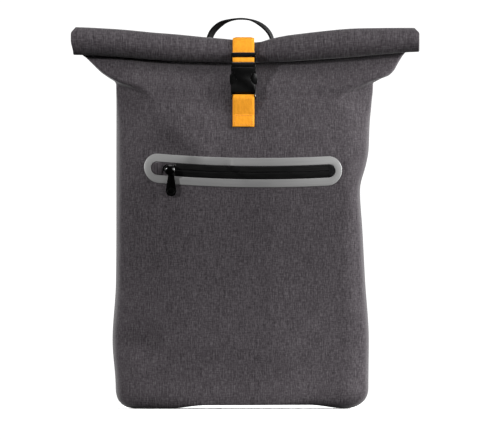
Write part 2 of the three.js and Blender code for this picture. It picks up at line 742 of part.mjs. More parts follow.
// Band swept along a curve, its width turned from across to deep by the given angle
function sweptBand(curve, steps, width, thick, angleAt) {
  const points = [];
  const index = [];
  for (let k = 0; k <= steps; k += 1) {
    const t = k / steps;
    const p = curve.getPointAt(t);
    const along = curve.getTangentAt(t);
    const angle = angleAt(t);
    const across = new THREE.Vector3(Math.cos(angle), Math.sin(angle), 0);
    across.addScaledVector(along, -across.dot(along)).normalize();
    const normal = along.clone().cross(across);
    for (const [u, v] of [[-1, -1], [1, -1], [1, 1], [-1, 1]]) {
      points.push(p.clone().addScaledVector(across, (u * width) / 2).addScaledVector(normal, (v * thick) / 2));
    }
  }
  for (let k = 0; k < steps; k += 1) {
    for (let i = 0; i < 4; i += 1) {
      const a = k * 4 + i;
      const b = k * 4 + ((i + 1) % 4);
      index.push(a, b, b + 4, a, b + 4, a + 4);
    }
  }
  const e = steps * 4;
  index.push(0, 2, 1, 0, 3, 2, e, e + 1, e + 2, e, e + 2, e + 3);
  const geometry = new THREE.BufferGeometry().setFromPoints(points);
  geometry.setIndex(index);
  return geometry;
}

function handleGeometry() {
  const out = SEAT + 0.6 + HANDLE.thick / 2;
  const leg = (sign, z, dy) => {
    const x = HANDLE.x + sign * HANDLE.half;
    return new THREE.Vector3(x, proud(z, HANDLE.width / 2, 1, x) + out + dy, z);
  };
  const free = (x, y, z) => new THREE.Vector3(HANDLE.x + x, y, z);
  const up = [leg(-1, HANDLE.low, 0), leg(-1, HANDLE.low + 10, 0), leg(-1, HANDLE.low + 20, 2)];
  const down = [leg(1, HANDLE.low + 20, 2), leg(1, HANDLE.low + 10, 0), leg(1, HANDLE.low, 0)];
  const arch = [free(-34, 41, 396), free(-35, 38, 422), free(-25, 36, 442), free(0, 35, HANDLE.top),
    free(25, 36, 442), free(35, 38, 422), free(34, 41, 396)];
  const curve = new THREE.CatmullRomCurve3([...up, ...arch, ...down], false, "centripetal");
  const turn = THREE.MathUtils.degToRad(78);
  return sweptBand(curve, HANDLE.steps, HANDLE.width, HANDLE.thick, (t) => {
    const u = 1 - Math.abs(2 * t - 1);
    return turn * smooth(0.16, 0.5, u) + (Math.PI / 2 - turn) * smooth(0.75, 1, u);
  });
}

add("grab_handle", handleGeometry(), BLACK, 0.8);

// Shoulder straps: each lies in one plane that leans outward towards the base
const PAD_PATH = table(["off", "z"], [
  [0, 300], [0, 309], [0, 318], [0, 326], [0, 334], [4, 345], [14, 354], [27, 355], [37, 347],
  [42, 332], [44, 310], [44, 280], [42, 250], [39, 222], [35, 196],
]);

function backOf(z) {
  return Math.max(...[-6, 0, 6].map((dz) => proud(z + dz, 104, 1)));
}

function padPath() {
  const stand = SEAT + STRAP.padThick / 2;
  return PAD_PATH.map((p) => new THREE.Vector2(backOf(Math.min(p.z, 334)) + stand + p.off, p.z));
}

function strapFrame(sign) {
  const group = new THREE.Group();
  const pivot = 318;
  group.rotation.y = -sign * STRAP.lean;
  group.position.set(sign * (STRAP.x + pivot * Math.sin(STRAP.lean)), 0, pivot * (1 - Math.cos(STRAP.lean)));
  root.add(group);
  return group;
}

// Adjuster under the pad, tilted along the strap, and the webbing that it holds
const pad = padPath();
const padEnd = pad[pad.length - 1];
const padAim = padEnd.clone().sub(pad[pad.length - 2]).normalize();

function besideAdjuster(along, out) {
  const normal = new THREE.Vector2(-padAim.y, padAim.x);
  return padEnd.clone().addScaledVector(padAim, along).addScaledVector(normal, out);
}

function adjusterGeometry() {
  const w = ADJUSTER.width / 2;
  const plate = roundedRect(-w, w, 0, ADJUSTER.length, 3);
  const third = (ADJUSTER.length - ADJUSTER.rail * 4) / 3;
  for (let k = 0; k < 3; k += 1) {
    const y0 = ADJUSTER.rail + k * (third + ADJUSTER.rail);
    plate.holes.push(new THREE.Path([[-13, y0], [-13, y0 + third], [13, y0 + third], [13, y0]]
      .map(([x, y]) => new THREE.Vector2(x, y))));
  }
  const across = new THREE.Vector3(1, 0, 0);
  const along = new THREE.Vector3(0, padAim.x, padAim.y);
  const start = besideAdjuster(SEAT, 0);
  const place = new THREE.Matrix4().makeBasis(across, along, across.clone().cross(along));
  place.setPosition(0, start.x, start.y);
  return slab(plate, -ADJUSTER.thick / 2, ADJUSTER.thick / 2).applyMatrix4(place);
}

function webbingPath() {
  const out = SEAT + WEBBING.thick / 2;
  const over = ADJUSTER.thick / 2 + out;
  const third = (ADJUSTER.length - ADJUSTER.rail * 4) / 3;
  const slot = (k) => SEAT + ADJUSTER.rail + third / 2 + k * (third + ADJUSTER.rail);
  const path = [
    besideAdjuster(slot(2) - third - ADJUSTER.rail - 4, -over),
    besideAdjuster(slot(1), -over),
    besideAdjuster(slot(1), over),
    besideAdjuster(slot(2), over),
    besideAdjuster(slot(2), -over),
    besideAdjuster(ADJUSTER.length + 8, -over),
  ];
  const stand = (z) => backOf(z) + out;
  path.push(new THREE.Vector2(stand(100) + 16, 112));
  path.push(new THREE.Vector2(stand(66) + 3, 66));
  for (const z of [54, 42, 30]) path.push(new THREE.Vector2(stand(z), z));
  return path;
}

for (const [side, sign] of [["left", -1], ["right", 1]]) {
  const frame = strapFrame(sign);
  add(`shoulder_pad_${side}`, crossStrip(pad, STRAP.padThick, STRAP.padWidth, 2.5), BLACK, 0.9, frame);
  add(`strap_adjuster_${side}`, adjusterGeometry(), BLACK, 0.4, frame);
  add(`strap_webbing_${side}`, crossStrip(webbingPath(), WEBBING.thick, WEBBING.width), BLACK, 0.85, frame);
}

export default root;
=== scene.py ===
"""Looks of a roll-top waterproof backpack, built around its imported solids.

Lengths are millimetres until a mesh is made, and the frame is the solids' own:
+Z up, front towards -Y, right towards +X, floor at zero.
"""

import math

import bmesh
import bpy
import numpy as np
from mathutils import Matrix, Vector
from mathutils.bvhtree import BVHTree


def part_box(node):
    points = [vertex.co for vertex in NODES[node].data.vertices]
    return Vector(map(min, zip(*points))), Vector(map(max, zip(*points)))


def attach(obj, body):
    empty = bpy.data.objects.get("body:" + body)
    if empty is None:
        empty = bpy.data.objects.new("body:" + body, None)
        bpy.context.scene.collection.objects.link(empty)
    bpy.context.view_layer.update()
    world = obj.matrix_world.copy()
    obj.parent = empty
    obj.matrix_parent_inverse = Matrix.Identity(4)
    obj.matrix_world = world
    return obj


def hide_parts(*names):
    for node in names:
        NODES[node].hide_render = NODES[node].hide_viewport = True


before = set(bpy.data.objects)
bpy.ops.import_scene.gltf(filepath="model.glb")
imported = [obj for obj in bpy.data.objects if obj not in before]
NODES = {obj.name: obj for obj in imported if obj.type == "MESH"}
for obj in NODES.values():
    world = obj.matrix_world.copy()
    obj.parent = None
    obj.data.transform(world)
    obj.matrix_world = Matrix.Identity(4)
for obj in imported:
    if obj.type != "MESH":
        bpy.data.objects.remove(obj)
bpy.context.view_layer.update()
MM = 0.001
BODY = "backpack"
# Points closer than this, in metres, are joined
WELD = 1e-5

# Cloth and seating
WALL = 1.2
SLIT = 0.6
SEAT = 0.35
HALF_COLLAR = WALL + SLIT / 2

# Base
BASE_RISE = 24
BASE_INSET_X = 0.225
BASE_BEND_LEFT, BASE_BEND_RIGHT = 1.6, 1.25
BASE_INSET_MIDDLE = 0.045
BASE_INSET_CORNER = 0.3
BASE_INSET_BACK = 0.22
BASE_LIFT = 5
ARCH_LEFT, ARCH_RIGHT = (-88, -42), (74, 120)
# Places across between which the base turns in to its corners, and its bend changes sides
BASE_CORNER, BASE_MIDDLE = (40, 125), (-60, 60)
BASE_STEPS = 10
FLOOR_RINGS = (0.8, 0.55, 0.3)

# Rolled mouth
COLLAR_Y = 6.5
NECK_Z = 412
NECK_HALF = 188
ROLL_Z = 424
ROLL_DEPTH = 30
ROLL_POINT = 1.2
ROLL_HEIGHT = 31.4
ROLL_PITCH = 3.6
ROLL_TURNS = 2.1
ROLL_STEPS = 40
ROLL_LEFT = 199.3
ROLL_RIGHT = 203
ROLL_TRIM = 4.6
ROLL_TRIM_FROM = 0.68
# Tuck of the roll's left end under its middle, and where both ends begin
ROLL_TUCK, ROLL_TUCK_FROM, ROLL_TUCK_TO = 2.6, 0.1, -0.9
ROLL_END = (165, 186)
# Form of the roll from left to right: place across, drop of the mouth, size, how far its face leans back
ROLL_FORM = np.array([
    (-200, -1.2, 1.05, 0),
    (-150, -3.2, 1.045, 0.02),
    (-90, -8, 1.03, 0.18),
    (-45, -9.6, 0.935, 0.28),
    (-13, -10.1, 0.845, 0.3),
    (13, -10.4, 0.72, 0.3),
    (32, -9.8, 0.87, 0.28),
    (50, -9.1, 0.985, 0.26),
    (85, -6.6, 1.05, 0.2),
    (118, -4.4, 1.09, 0.1),
    (155, -1.2, 1.01, 0.02),
    (205, 2.2, 0.89, 0),
])
# Heights between which the wall starts to follow the mouth's drop
DROP_FROM, DROP_TO = 345, 404

# Sections of the sack
SECTION_KEYS = ("z", "left", "right", "front_left", "front_right", "front", "back", "side", "crown", "ear")
SECTIONS = np.array([
    (24, 147.6, 144.2, 129, 125, -58, 58, 38, 5, 0),
    (79, 151.2, 144.7, 134, 126, -61, 62, 42, 6, 0),
    (148, 147.2, 140.4, 132, 124, -62, 62, 42, 6, 0),
    (206, 146.8, 137.3, 132, 123, -62, 62, 42, 6, 0),
    (252, 146.8, 134.5, 131, 124, -61, 62, 40, 6, 0),
    (284, 146.8, 142, 127, 127, -59, 61.5, 37, 6, 0),
    (298, 146.8, 144.4, 124, 128, -55, 61, 36, 6.5, 0),
    (330, 146.8, 145.8, 112, 124, -45, 58, 26, 6, 0),
    (348, 146.8, 147.5, 105.5, 118, -39, 53, 17, 5.5, 0),
    (358, 146.9, 148.4, 106.5, 115.5, -36, 49, 12, 5, 1),
    (365, 147, 149.2, 111.5, 117, -34, 45, 8, 4, 2.5),
    (371, 147.1, 149.6, 121, 129, -32.5, 41, 6, 3.5, 4.5),
    (376, 147.1, 149.8, 136, 141, -30.5, 38, 4.5, 3, 6.5),
    (379, 148.2, 150.8, 144.5, 147, -29, 35, 3.5, 2.6, 7),
    (384, 155.5, 166.5, 152.5, 163, -26.5, 30, 2, 2.2, 7.5),
    (390, 164, 173.6, 161.5, 171, -22.5, 25, 1.2, 1.5, 7.5),
    (398, 172.6, 178.4, 170.6, 176.5, -16, 17.5, 0.9, 0.8, 6),
    (406, 181, 183.6, 179.5, 182, -6, 11.4, 0.7, 0.3, 3),
    (NECK_Z, NECK_HALF, NECK_HALF, 187, 187, COLLAR_Y - HALF_COLLAR, COLLAR_Y + HALF_COLLAR, 0.6, 0, 0),
], float)
RING_HEIGHTS = np.concatenate([np.arange(24, 320, 4.5), np.arange(320, 400, 2.0), np.arange(400, 413, 2.0)])
FACE_STEPS = {"front": 56, "back": 20}
CORNER_STEPS = 8
FLANK_STEPS = 7
SIDE_STEPS = 5
INNER_EVERY = 4

# Rounding of the edge between front and side, soft below and crisp under the ears
CORNER_SOFT, CORNER_CRISP = 22, 5.5
CORNER_FROM, CORNER_TO = 310, 354
# Most of the flank a rounding takes, longest rounding at the side, share of the side it ends at
CORNER_SHARE, TIP_ROUND, SIDE_SHARE = 0.42, 12, 0.8
# How far tip, edge and side draw in for each millimetre of inset, and the least side
TIP_PULL, EDGE_PULL, SIDE_PULL, SIDE_LEAST = 1.2, 0.6, 0.7, 0.15
# How the front wall falls back to its sides: side, where that starts, how it bends, how much
FRONT_FALLS = ((1, 0.25, 1.25, 1.9), (-1, 0.45, 1.6, 1))
EAR_POWER = 4

# Folds of the front wall: points from left to right and how far each stands out, reach above and below
FOLDS = (
    (((-146, 378, 1.5), (-130.5, 375, 2.6), (-120, 371, 3), (-111, 364.6, 3), (-106.4, 357, 2)), 9, 3.2),
    (((-141, 371.5, -2.6), (-128, 368.5, -3), (-118, 363, -3), (-111.5, 354, -2)), 3.5, 11),
    (((-107.5, 347, 7), (-80, 327, 12), (-52, 306, 9), (-35, 294, 2)), 44, 23),
    (((115.6, 365, 2.4), (130, 373, 2.4), (147.8, 378.4, 1.5)), 9, 3.2),
    (((117, 360.5, -3.4), (126, 367.5, -3), (137, 372, -2)), 3, 7),
    (((-143, 77, -4.5), (-105, 68, -4.5)), 15, 15),
    (((92, 30, -4), (125, 62, -4)), 34, 34),
)
# Slow waves of the cloth: across and up wave lengths, phase, height
WAVES = ((210, 330, 0.4, 0.5), (-95, 170, 1.9, 0.35), (130, -75, 4.1, 0.22))
# Heights between which waves set in, and between which folds and waves end
WAVES_FROM, FOLDS_TO = (30, 70), (396, 408)
# How soon folds reach their full height from side to front
FOLD_FACING = 1.7

# Front pocket zip
ZIP_LEFT, ZIP_RIGHT = -114.4, 113.5
ZIP_Z, ZIP_BOW, ZIP_LEAN, ZIP_SPAN = 271.95, 3.6, -1.5, 100
ZIP_HALF, ZIP_BAND, ZIP_END, ZIP_ROUND = 16.95, 9.3, 7.8, 0.96
ZIP_SIDE_STEPS, ZIP_END_STEPS = 60, 24
WINDOW_INSET = 0.4
WINDOW_LEFT, WINDOW_RIGHT = ZIP_LEFT + ZIP_END + WINDOW_INSET, ZIP_RIGHT - ZIP_END - WINDOW_INSET
STOP_LENGTH, STOP_LAP, STOP_LIFT = 7, 2, 1.2
STOP_LEFT = WINDOW_RIGHT - STOP_LENGTH
TAPE_LEFT, TAPE_RIGHT = -79.5, STOP_LEFT + STOP_LAP
TAPE_HALF, TAPE_GAP, TAPE_STEPS, TAPE_LEAST = 7.25, 0.35, 90, 0.02
SLIDER_X, SLIDER_LENGTH = -86.3, 13
GARAGE_GAP, GARAGE_LIFT = 0.5, 0.7
GARAGE_RIGHT = SLIDER_X - SLIDER_LENGTH / 2 - GARAGE_GAP
PATCH_STEPS, PATCH_BASE, PATCH_FALL = 24, 0.2, 0.3
# Sections of band, film and patch: share of the way across, lift off the cloth
BAND_PROFILE = ((0, 0.1), (0, 0.5), (0.03, 0.66), (0.08, 0.7), (0.92, 0.7), (0.97, 0.62), (1, 0.42), (1, 0.1))
FILM_PROFILE = ((0, 0.1), (0, 0.9), (0.04, 1.2), (0.15, 1.22), (0.5, 1.0), (0.85, 0.66), (1, 0.4), (1, 0.1))
PATCH_PROFILE = ((-1, 0.1), (-0.97, 0.6), (-0.8, 0.9), (-0.3, 1), (0.3, 1), (0.8, 0.9), (0.97, 0.6),
                 (1, 0.1))
# Cap of the slider, then its section: share of its half widths, share of its height
CAP_HALF, CAP_HIGH, CAP_CLEAR, CAP_SHIFT, CAP_SINK = (6.5, 6.3), 4.2, 0.25, 1.7, 1.4
CAP_STEPS = 40
CAP_PROFILE = ((0.55, 0), (0.93, 0), (1, 0.1), (0.98, 0.27), (0.9, 0.48), (0.76, 0.69), (0.57, 0.85),
               (0.36, 0.95), (0.16, 1))

# Softened edges of solids that stay
FLAT_ANGLE, EDGE_ANGLE = math.radians(2), math.radians(28)

# Webbing
WEB_WIDTH, WEB_THICK, WEB_STEP = 25, 1.5, 0.8
WEB_EDGE, WEB_SQUARE, WEB_POINTS, CUP_POWER = 0.45, 0.4, 9, 6
FILLET_SHARE = 0.48
# From the cloth to the middle of the webbing on it
WEB_OUT = SEAT + WEB_THICK / 2

# Closure
BUCKLE_Y, BUCKLE_Z, BUCKLE_LEAN = -28.8, 397.7, math.radians(25)
SOCKET_END, SOCKET_SLOT, SOCKET_LAP = -44.4, -40.7, 1.5
BAR_OVER = 1.8
LADDER_HEAD, SLOT_HIGH, SLOT_LOW, BAR_TOP = 14, 7.1, 1.75, 5.9
LADDER_BEHIND, LADDER_BEFORE, HEAD_LAP, BAR_LAP = -2.2, 0.4, 1, 1.2
BACK_TOP, BACK_BOTTOM, BACK_STEPS = 399, 356, 14
FRONT_TOP, FRONT_BOTTOM, FRONT_STEPS = 339, 325, 8
WRAP_STEPS, WRAP_FAR = 40, 60
STRAP_RISE, STRAP_CUP, CUP_DEPTH = 1.3, 1.2, 9
TAIL_LENGTH, TAIL_OUT = 8, 1
UPPER_FILLET, LOWER_FILLET = 1.1, 1.6

# Stitches of the front strap: height off the webbing and girth along one, in shares of its thickness
STITCH_LENGTH, STITCH_GAP, STITCH_THICK = 2.4, 0.9, 0.32
STITCH_RISE, STITCH_SPREAD = (-0.5, 0.25, 0.42, 0.42, 0.25, -0.5), 1.4
STITCH_GIRTH, STITCH_SIDES = (0.6, 1, 1, 1, 1, 0.6), 6
STITCH_INSET, STITCH_LOW, STITCH_HIGH, STITCH_POINTS = 2.4, FRONT_BOTTOM + 2, FRONT_TOP - 1, 12
STITCH_OUTWARD = (0, -0.93, 0.36)

# Grab handle
HANDLE_X, HANDLE_HALF, HANDLE_GAP = -2.5, 33, 0.6
HANDLE_WIDTH, HANDLE_THICK = 20, 2
# Sewn legs from their ends up: height, distance from the cloth
HANDLE_LEG = ((352, 0), (362, 0), (372, 2))
HANDLE_ARCH = (
    (-33, 41, 396), (-37.5, 38, 420), (-36, 37.5, 430), (-31.5, 37, 438), (-22.5, 36, 445.5),
    (-11.5, 35.5, 449.4), (0, 35, 450.6), (11, 35.5, 449.2), (21, 36, 444.8), (29.5, 37, 438),
    (34.5, 37.5, 430), (36, 38, 420), (33, 41, 396))
HANDLE_SPAN_STEPS, HANDLE_STEP = 16, 1.6
HANDLE_TURN_LEFT, HANDLE_TURN_RIGHT, HANDLE_TWIST = math.radians(67), math.radians(74), math.radians(6)
# Shares of the way from an end to the top between which it turns, untwists and lies across
HANDLE_TURNS, HANDLE_UNTWISTS, HANDLE_ACROSS = (0.16, 0.5), (0.62, 0.8), (0.8, 1)

# Shoulder straps
STRAP_X, STRAP_LEAN, STRAP_PIVOT = 74, math.radians(6), 318
BACK_HALF, BACK_LOOK = 104, (-6, 0, 6)
PAD_WIDTH, PAD_THICK, PAD_SEWN = 54, 9, 334
# Line of a pad: distance from where it is sewn on, height
PAD_PATH = ((0, 300), (0, 309), (0, 318), (0, 326), (0, 334), (4, 345), (14, 354), (27, 355), (37, 347),
            (42, 332), (44, 310), (44, 280), (42, 250), (39, 222), (35, 196))
PAD_SHRINK, PAD_VOXEL = 1.6, 4.5
PAD_PRESSURE, PAD_FRAMES, PAD_SWELL, PAD_QUALITY = 4.0, 20, 2.5, 6
BINDING_IN, BINDING_HALF, BINDING_THIN, BINDING_SIDES = 2.2, 2.5, 0.4, 14
BINDING_ROUND, BINDING_ROUND_STEPS, BINDING_STEP = 9, 8, 2.0
ADJUSTER_LENGTH, ADJUSTER_THICK, ADJUSTER_RAIL = 27, 4, 3.6
ADJUSTER_OVER = ADJUSTER_THICK / 2 + WEB_OUT
LOOP_START, LOOP_TURN, LOOP_FILLET = (-10, 1), 0.5, 1.5
# Web below the adjuster: laps, then height, height at which the back is felt, distance from it
STRAP_LAP, STRAP_BELOW = 4, 8
STRAP_TAIL = ((112, 100, 16), (66, 66, 3), (54, 54, 0), (42, 42, 0), (30, 30, 0))
STRAP_FILLET, STRAP_STEP = 2.0, 1.2

# Photograph's frame
IMAGE_WIDTH, IMAGE_HEIGHT = 490, 440
MM_PER_PIXEL = 1.1518
AXIS_PIXEL, FLOOR_PIXEL = 243.5, 408.85
CAMERA_DISTANCE = 20000
CAMERA_ELEVATION = math.radians(-0.25)
FRONT_PLANE = -50
SENSOR, CLIP = 36, (0.05, 50)

# Studio: floor in millimetres, aim of the lights in metres, strength of the backdrop
FLOOR_HALF = 1300
LIGHT_AIM = (0, 0, 0.23)
BACKDROP = 1.1


# Small mathematics

def smooth(low, high, value):
    t = np.clip((value - low) / (high - low), 0, 1)
    return t * t * (3 - 2 * t)


def unit(v):
    v = np.asarray(v, float)
    return v / np.linalg.norm(v, axis=-1, keepdims=True)


def between(a, b, low, high, t):
    return ((high - t) * a + (t - low) * b) / (high - low)


def spline(points, per_span):
    """Points of a centripetal curve through the given points."""
    p = np.asarray(points, float)
    p = np.vstack([2 * p[0] - p[1], p, 2 * p[-1] - p[-2]])
    out = []
    for i in range(1, len(p) - 2):
        quad = p[i - 1:i + 3]
        knots = [0.0]
        for a, b in zip(quad, quad[1:]):
            knots.append(knots[-1] + max(1e-6, np.linalg.norm(b - a)) ** 0.5)
        for t in np.linspace(knots[1], knots[2], per_span, endpoint=False):
            first = [between(quad[k], quad[k + 1], knots[k], knots[k + 1], t) for k in range(3)]
            second = [between(first[k], first[k + 1], knots[k], knots[k + 2], t) for k in range(2)]
            out.append(between(*second, knots[1], knots[2], t))
    return np.array([*out, p[-2]])


def bent(a, corner, b, steps):
    t = np.linspace(0, 1, steps)[:, None]
    return (1 - t) ** 2 * a + 2 * t * (1 - t) * corner + t * t * b


def fillet(points, radius, steps=5):
    """Polyline with its corners rounded, by less than half of the shorter side."""
    p = np.asarray(points, float)
    out = [p[:1]]
    for a, b, c in zip(p, p[1:], p[2:]):
        before, after = np.linalg.norm(a - b), np.linalg.norm(c - b)
        reach = min(radius, before * FILLET_SHARE, after * FILLET_SHARE)
        out.append(bent(b + (a - b) / before * reach, b, b + (c - b) / after * reach, steps))
    return np.vstack([*out, p[-1:]])


def circle(sides):
    angles = np.linspace(0, 2 * math.pi, sides, endpoint=False)
    return np.stack([np.cos(angles), np.sin(angles)], axis=1)


def lengths(points):
    return np.concatenate([[0], np.cumsum(np.linalg.norm(np.diff(points, axis=0), axis=1))])


def round_spans(ring):
    """Start and end of each step round a closed ring, in metres."""
    run = lengths(np.vstack([ring, ring[:1]])) * MM
    return np.stack([run[:-1], run[1:]], axis=-1)


def resample(points, spacing):
    run = lengths(points)
    count = max(2, int(round(run[-1] / spacing)) + 1)
    at = np.linspace(0, run[-1], count)
    return np.stack([np.interp(at, run, points[:, k]) for k in range(points.shape[1])], axis=1)


# Mesh making

def settle(thing, **settings):
    for key, value in settings.items():
        setattr(thing, key, value)
    return thing


def link_object(name, data):
    obj = bpy.data.objects.new(name, data)
    bpy.context.scene.collection.objects.link(obj)
    return obj


def shade_smooth(mesh):
    mesh.polygons.foreach_set("use_smooth", [True] * len(mesh.polygons))


def new_object(name, points, faces, uvs=None):
    """Mesh object from points in millimetres, with one UV for each corner of each face."""
    mesh = bpy.data.meshes.new(name)
    mesh.from_pydata((np.asarray(points, float) * MM).tolist(), [], faces)
    mesh.update()
    shade_smooth(mesh)
    if uvs is not None:
        layer = mesh.uv_layers.new(name="cloth")
        layer.data.foreach_set("uv", np.asarray(uvs, np.float32).ravel())
    return link_object(name, mesh)


def finish_piece(obj, material, nodes=()):
    obj.data.materials.append(material)
    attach(obj, BODY)
    if nodes:
        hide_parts(*nodes)
    return obj


class Builder:
    """Points, faces and corner UVs that several strips add to."""

    def __init__(self):
        self.points, self.faces, self.uvs = [], [], []

    def add(self, points):
        first = len(self.points)
        self.points.extend(np.asarray(points, float))
        return first

    def face(self, corners, uvs=None):
        self.faces.append(tuple(int(c) for c in corners))
        self.uvs.extend(uvs or [(0, 0)] * len(corners))

    def skin(self, starts, spans, vs, closed=True):
        """Quads between rings; spans holds where each step round a ring starts and ends."""
        count = spans.shape[-2]
        rows = list(zip(starts, np.broadcast_to(spans, (len(starts), count, 2)), vs))
        for (a, ua, va), (b, ub, vb) in zip(rows, rows[1:]):
            for i in range(count if closed else count - 1):
                j = (i + 1) % count
                self.face((a + i, a + j, b + j, b + i),
                          ((ua[i, 0], va), (ua[i, 1], va), (ub[i, 1], vb), (ub[i, 0], vb)))

    def close(self, starts, ring):
        """Flat faces over both ends of a skin; ring is flat, in millimetres."""
        uvs = [tuple(q * MM) for q in ring]
        for start, order in ((starts[0], -1), (starts[-1], 1)):
            self.face(range(start, start + len(uvs))[::order], uvs[::order])

    def make(self, name):
        return new_object(name, self.points, self.faces, self.uvs)


# Sack

def table_slopes(table):
    """Slopes at the rows of a table that keep a curve through them from overshooting."""
    rise = np.diff(table, axis=0) / np.diff(table[:, 0:1], axis=0)
    slopes = np.zeros_like(table)
    before, after = rise[:-1], rise[1:]
    both = before * after
    total = np.where(both > 0, before + after, 1)
    slopes[1:-1] = np.where(both > 0, 2 * both / total, 0)
    return slopes


def look_up(table, slopes, at):
    """Rows between those of a table, on the smooth curve through them."""
    at = np.asarray(at, float)
    i = np.clip(np.searchsorted(table[:, 0], at) - 1, 0, len(table) - 2)
    a, b = table[i], table[i + 1]
    step = b[..., 0:1] - a[..., 0:1]
    t = np.clip((at[..., None] - a[..., 0:1]) / step, 0, 1)
    row = a + (b - a) * t * t * (3 - 2 * t)
    return row + t * (1 - t) * step * ((1 - t) * slopes[i] - t * slopes[i + 1])


SECTION_SLOPES = table_slopes(SECTIONS)
ROLL_SLOPES = table_slopes(ROLL_FORM)


def section_at(z):
    return dict(zip(SECTION_KEYS, look_up(SECTIONS, SECTION_SLOPES, z)), z=z)


def roll_form(x):
    """Drop of the mouth, size of the roll and lean of its face at a place across."""
    return np.moveaxis(look_up(ROLL_FORM, ROLL_SLOPES, x), -1, 0)[1:]


def corner_round(z):
    """How far the edge between front and side is rounded: crisp under the ears, soft below."""
    return CORNER_SOFT + (CORNER_CRISP - CORNER_SOFT) * smooth(CORNER_FROM, CORNER_TO, z)


def fold_at(x, z):
    """How far folds and waves stand out of the front wall at a place."""
    height = np.zeros_like(x)
    for line, above, below in FOLDS:
        nearest, size = np.full_like(x, np.inf), np.zeros_like(x)
        for (x0, z0, h0), (x1, z1, h1) in zip(line, line[1:]):
            dx, dz = x1 - x0, z1 - z0
            t = np.clip(((x - x0) * dx + (z - z0) * dz) / (dx * dx + dz * dz), 0, 1)
            reach = np.where((z - z0) * dx > (x - x0) * dz, above, below)
            away = np.hypot(x - x0 - t * dx, z - z0 - t * dz) / reach
            size = np.where(away < nearest, h0 + (h1 - h0) * t, size)
            nearest = np.minimum(nearest, away)
        height += size * np.exp(-nearest * nearest)
    for across, up, phase, size in WAVES:
        height += size * np.sin(2 * math.pi * (x / across + z / up) + phase) * smooth(*WAVES_FROM, z)
    return height


def quarter(s, face, sign, inset):
    """Quarter of a section, from the middle of a face to the middle of a side."""
    outward = -1 if face == "front" else 1
    middle = (s["front"] + s["back"]) / 2
    flat = 1 - s["side"] / abs(s[face] - middle)
    hand = "right" if sign > 0 else "left"
    tip = s[hand] - inset * (1 + TIP_PULL * flat)
    edge = s["front_" + hand] - inset * EDGE_PULL
    side = max(SIDE_LEAST, s["side"] - inset * SIDE_PULL)
    y = s[face] - outward * inset
    crown = s["crown"] if face == "front" else 0
    centre = (s["front_right"] - s["front_left"]) / 2
    half = (s["front_right"] + s["front_left"]) / 2

    def on_face(x):
        u = (x - centre) / half
        fall = sum(much * np.clip((way * u - start) / (1 - start), 0, 1) ** power
                   for way, start, power, much in FRONT_FALLS)
        bulge = crown * (1 - fall) - s["ear"] * u ** EAR_POWER
        return np.stack([x, y + outward * bulge], axis=-1)

    b, c = on_face(np.array(sign * edge)), np.array([sign * tip, middle + outward * side])
    d = np.array([sign * tip, middle])
    along = unit(c - b)
    span = np.linalg.norm(c - b)
    reach = min(corner_round(s["z"]), span * CORNER_SHARE)
    start = on_face(np.array(b[0] - sign * reach))
    face_points = on_face(np.linspace(0, start[0], FACE_STEPS[face], endpoint=False))
    edge_points = bent(start, b, b + along * reach, CORNER_STEPS)
    before = c - along * min(reach, TIP_ROUND, span * CORNER_SHARE)
    flank = before + (edge_points[-1] - before) * np.linspace(1, 0, FLANK_STEPS)[1:-1, None]
    after = c + (d - c) * SIDE_SHARE
    tip_points = bent(before, c, after, SIDE_STEPS)
    return np.vstack([face_points, edge_points, flank, tip_points]), d


def outline(section, inset):
    ring = []
    for going, coming, sign in (("front", "back", 1), ("back", "front", -1)):
        first, end = quarter(section, going, sign, inset)
        second, _ = quarter(section, coming, sign, inset)
        ring += [first, end[None], second[:0:-1]]
    return np.vstack(ring)


def wall_ring(z, inset):
    section = section_at(z)
    middle = (section["front"] + section["back"]) / 2
    p = outline(section, inset)
    height = z + smooth(DROP_FROM, DROP_TO, z) * roll_form(p[:, 0])[0]
    facing = np.clip(FOLD_FACING * (middle - p[:, 1]) / (middle - section["front"]), 0, 1)
    y = p[:, 1] - facing * fold_at(p[:, 0], height) * (1 - smooth(*FOLDS_TO, z))
    return np.stack([p[:, 0], y, height], axis=1)


def base_lift(x):
    """How far the base arches off the floor."""
    return BASE_LIFT * smooth(*ARCH_LEFT, x) * (1 - smooth(*ARCH_RIGHT, x))


def base_ring(turn, inset):
    angle = turn * math.pi / 2
    inward = 1 - math.cos(angle)
    p = wall_ring(BASE_RISE, inset)
    corner = smooth(*BASE_CORNER, np.abs(p[:, 0]))
    ahead = BASE_INSET_MIDDLE + (BASE_INSET_CORNER - BASE_INSET_MIDDLE) * corner
    pull = np.where(p[:, 1] < 0, ahead, BASE_INSET_BACK)
    x = p[:, 0] * (1 - BASE_INSET_X * inward)
    low = inset + base_lift(x) * turn
    bend = BASE_BEND_LEFT + (BASE_BEND_RIGHT - BASE_BEND_LEFT) * smooth(*BASE_MIDDLE, p[:, 0])
    z = low + (BASE_RISE - low) * (1 - math.sin(angle)) ** bend
    return np.stack([x, p[:, 1] * (1 - pull * inward), z], axis=1)


def floor_rings(ring, inset):
    """Rings of the floor inside its edge, and its middle."""
    flat = [ring[:, :2] * share for share in (*FLOOR_RINGS, 0)]
    rings = [np.column_stack([p, inset + base_lift(p[:, 0])]) for p in flat]
    return rings[:-1], rings[-1][:1]


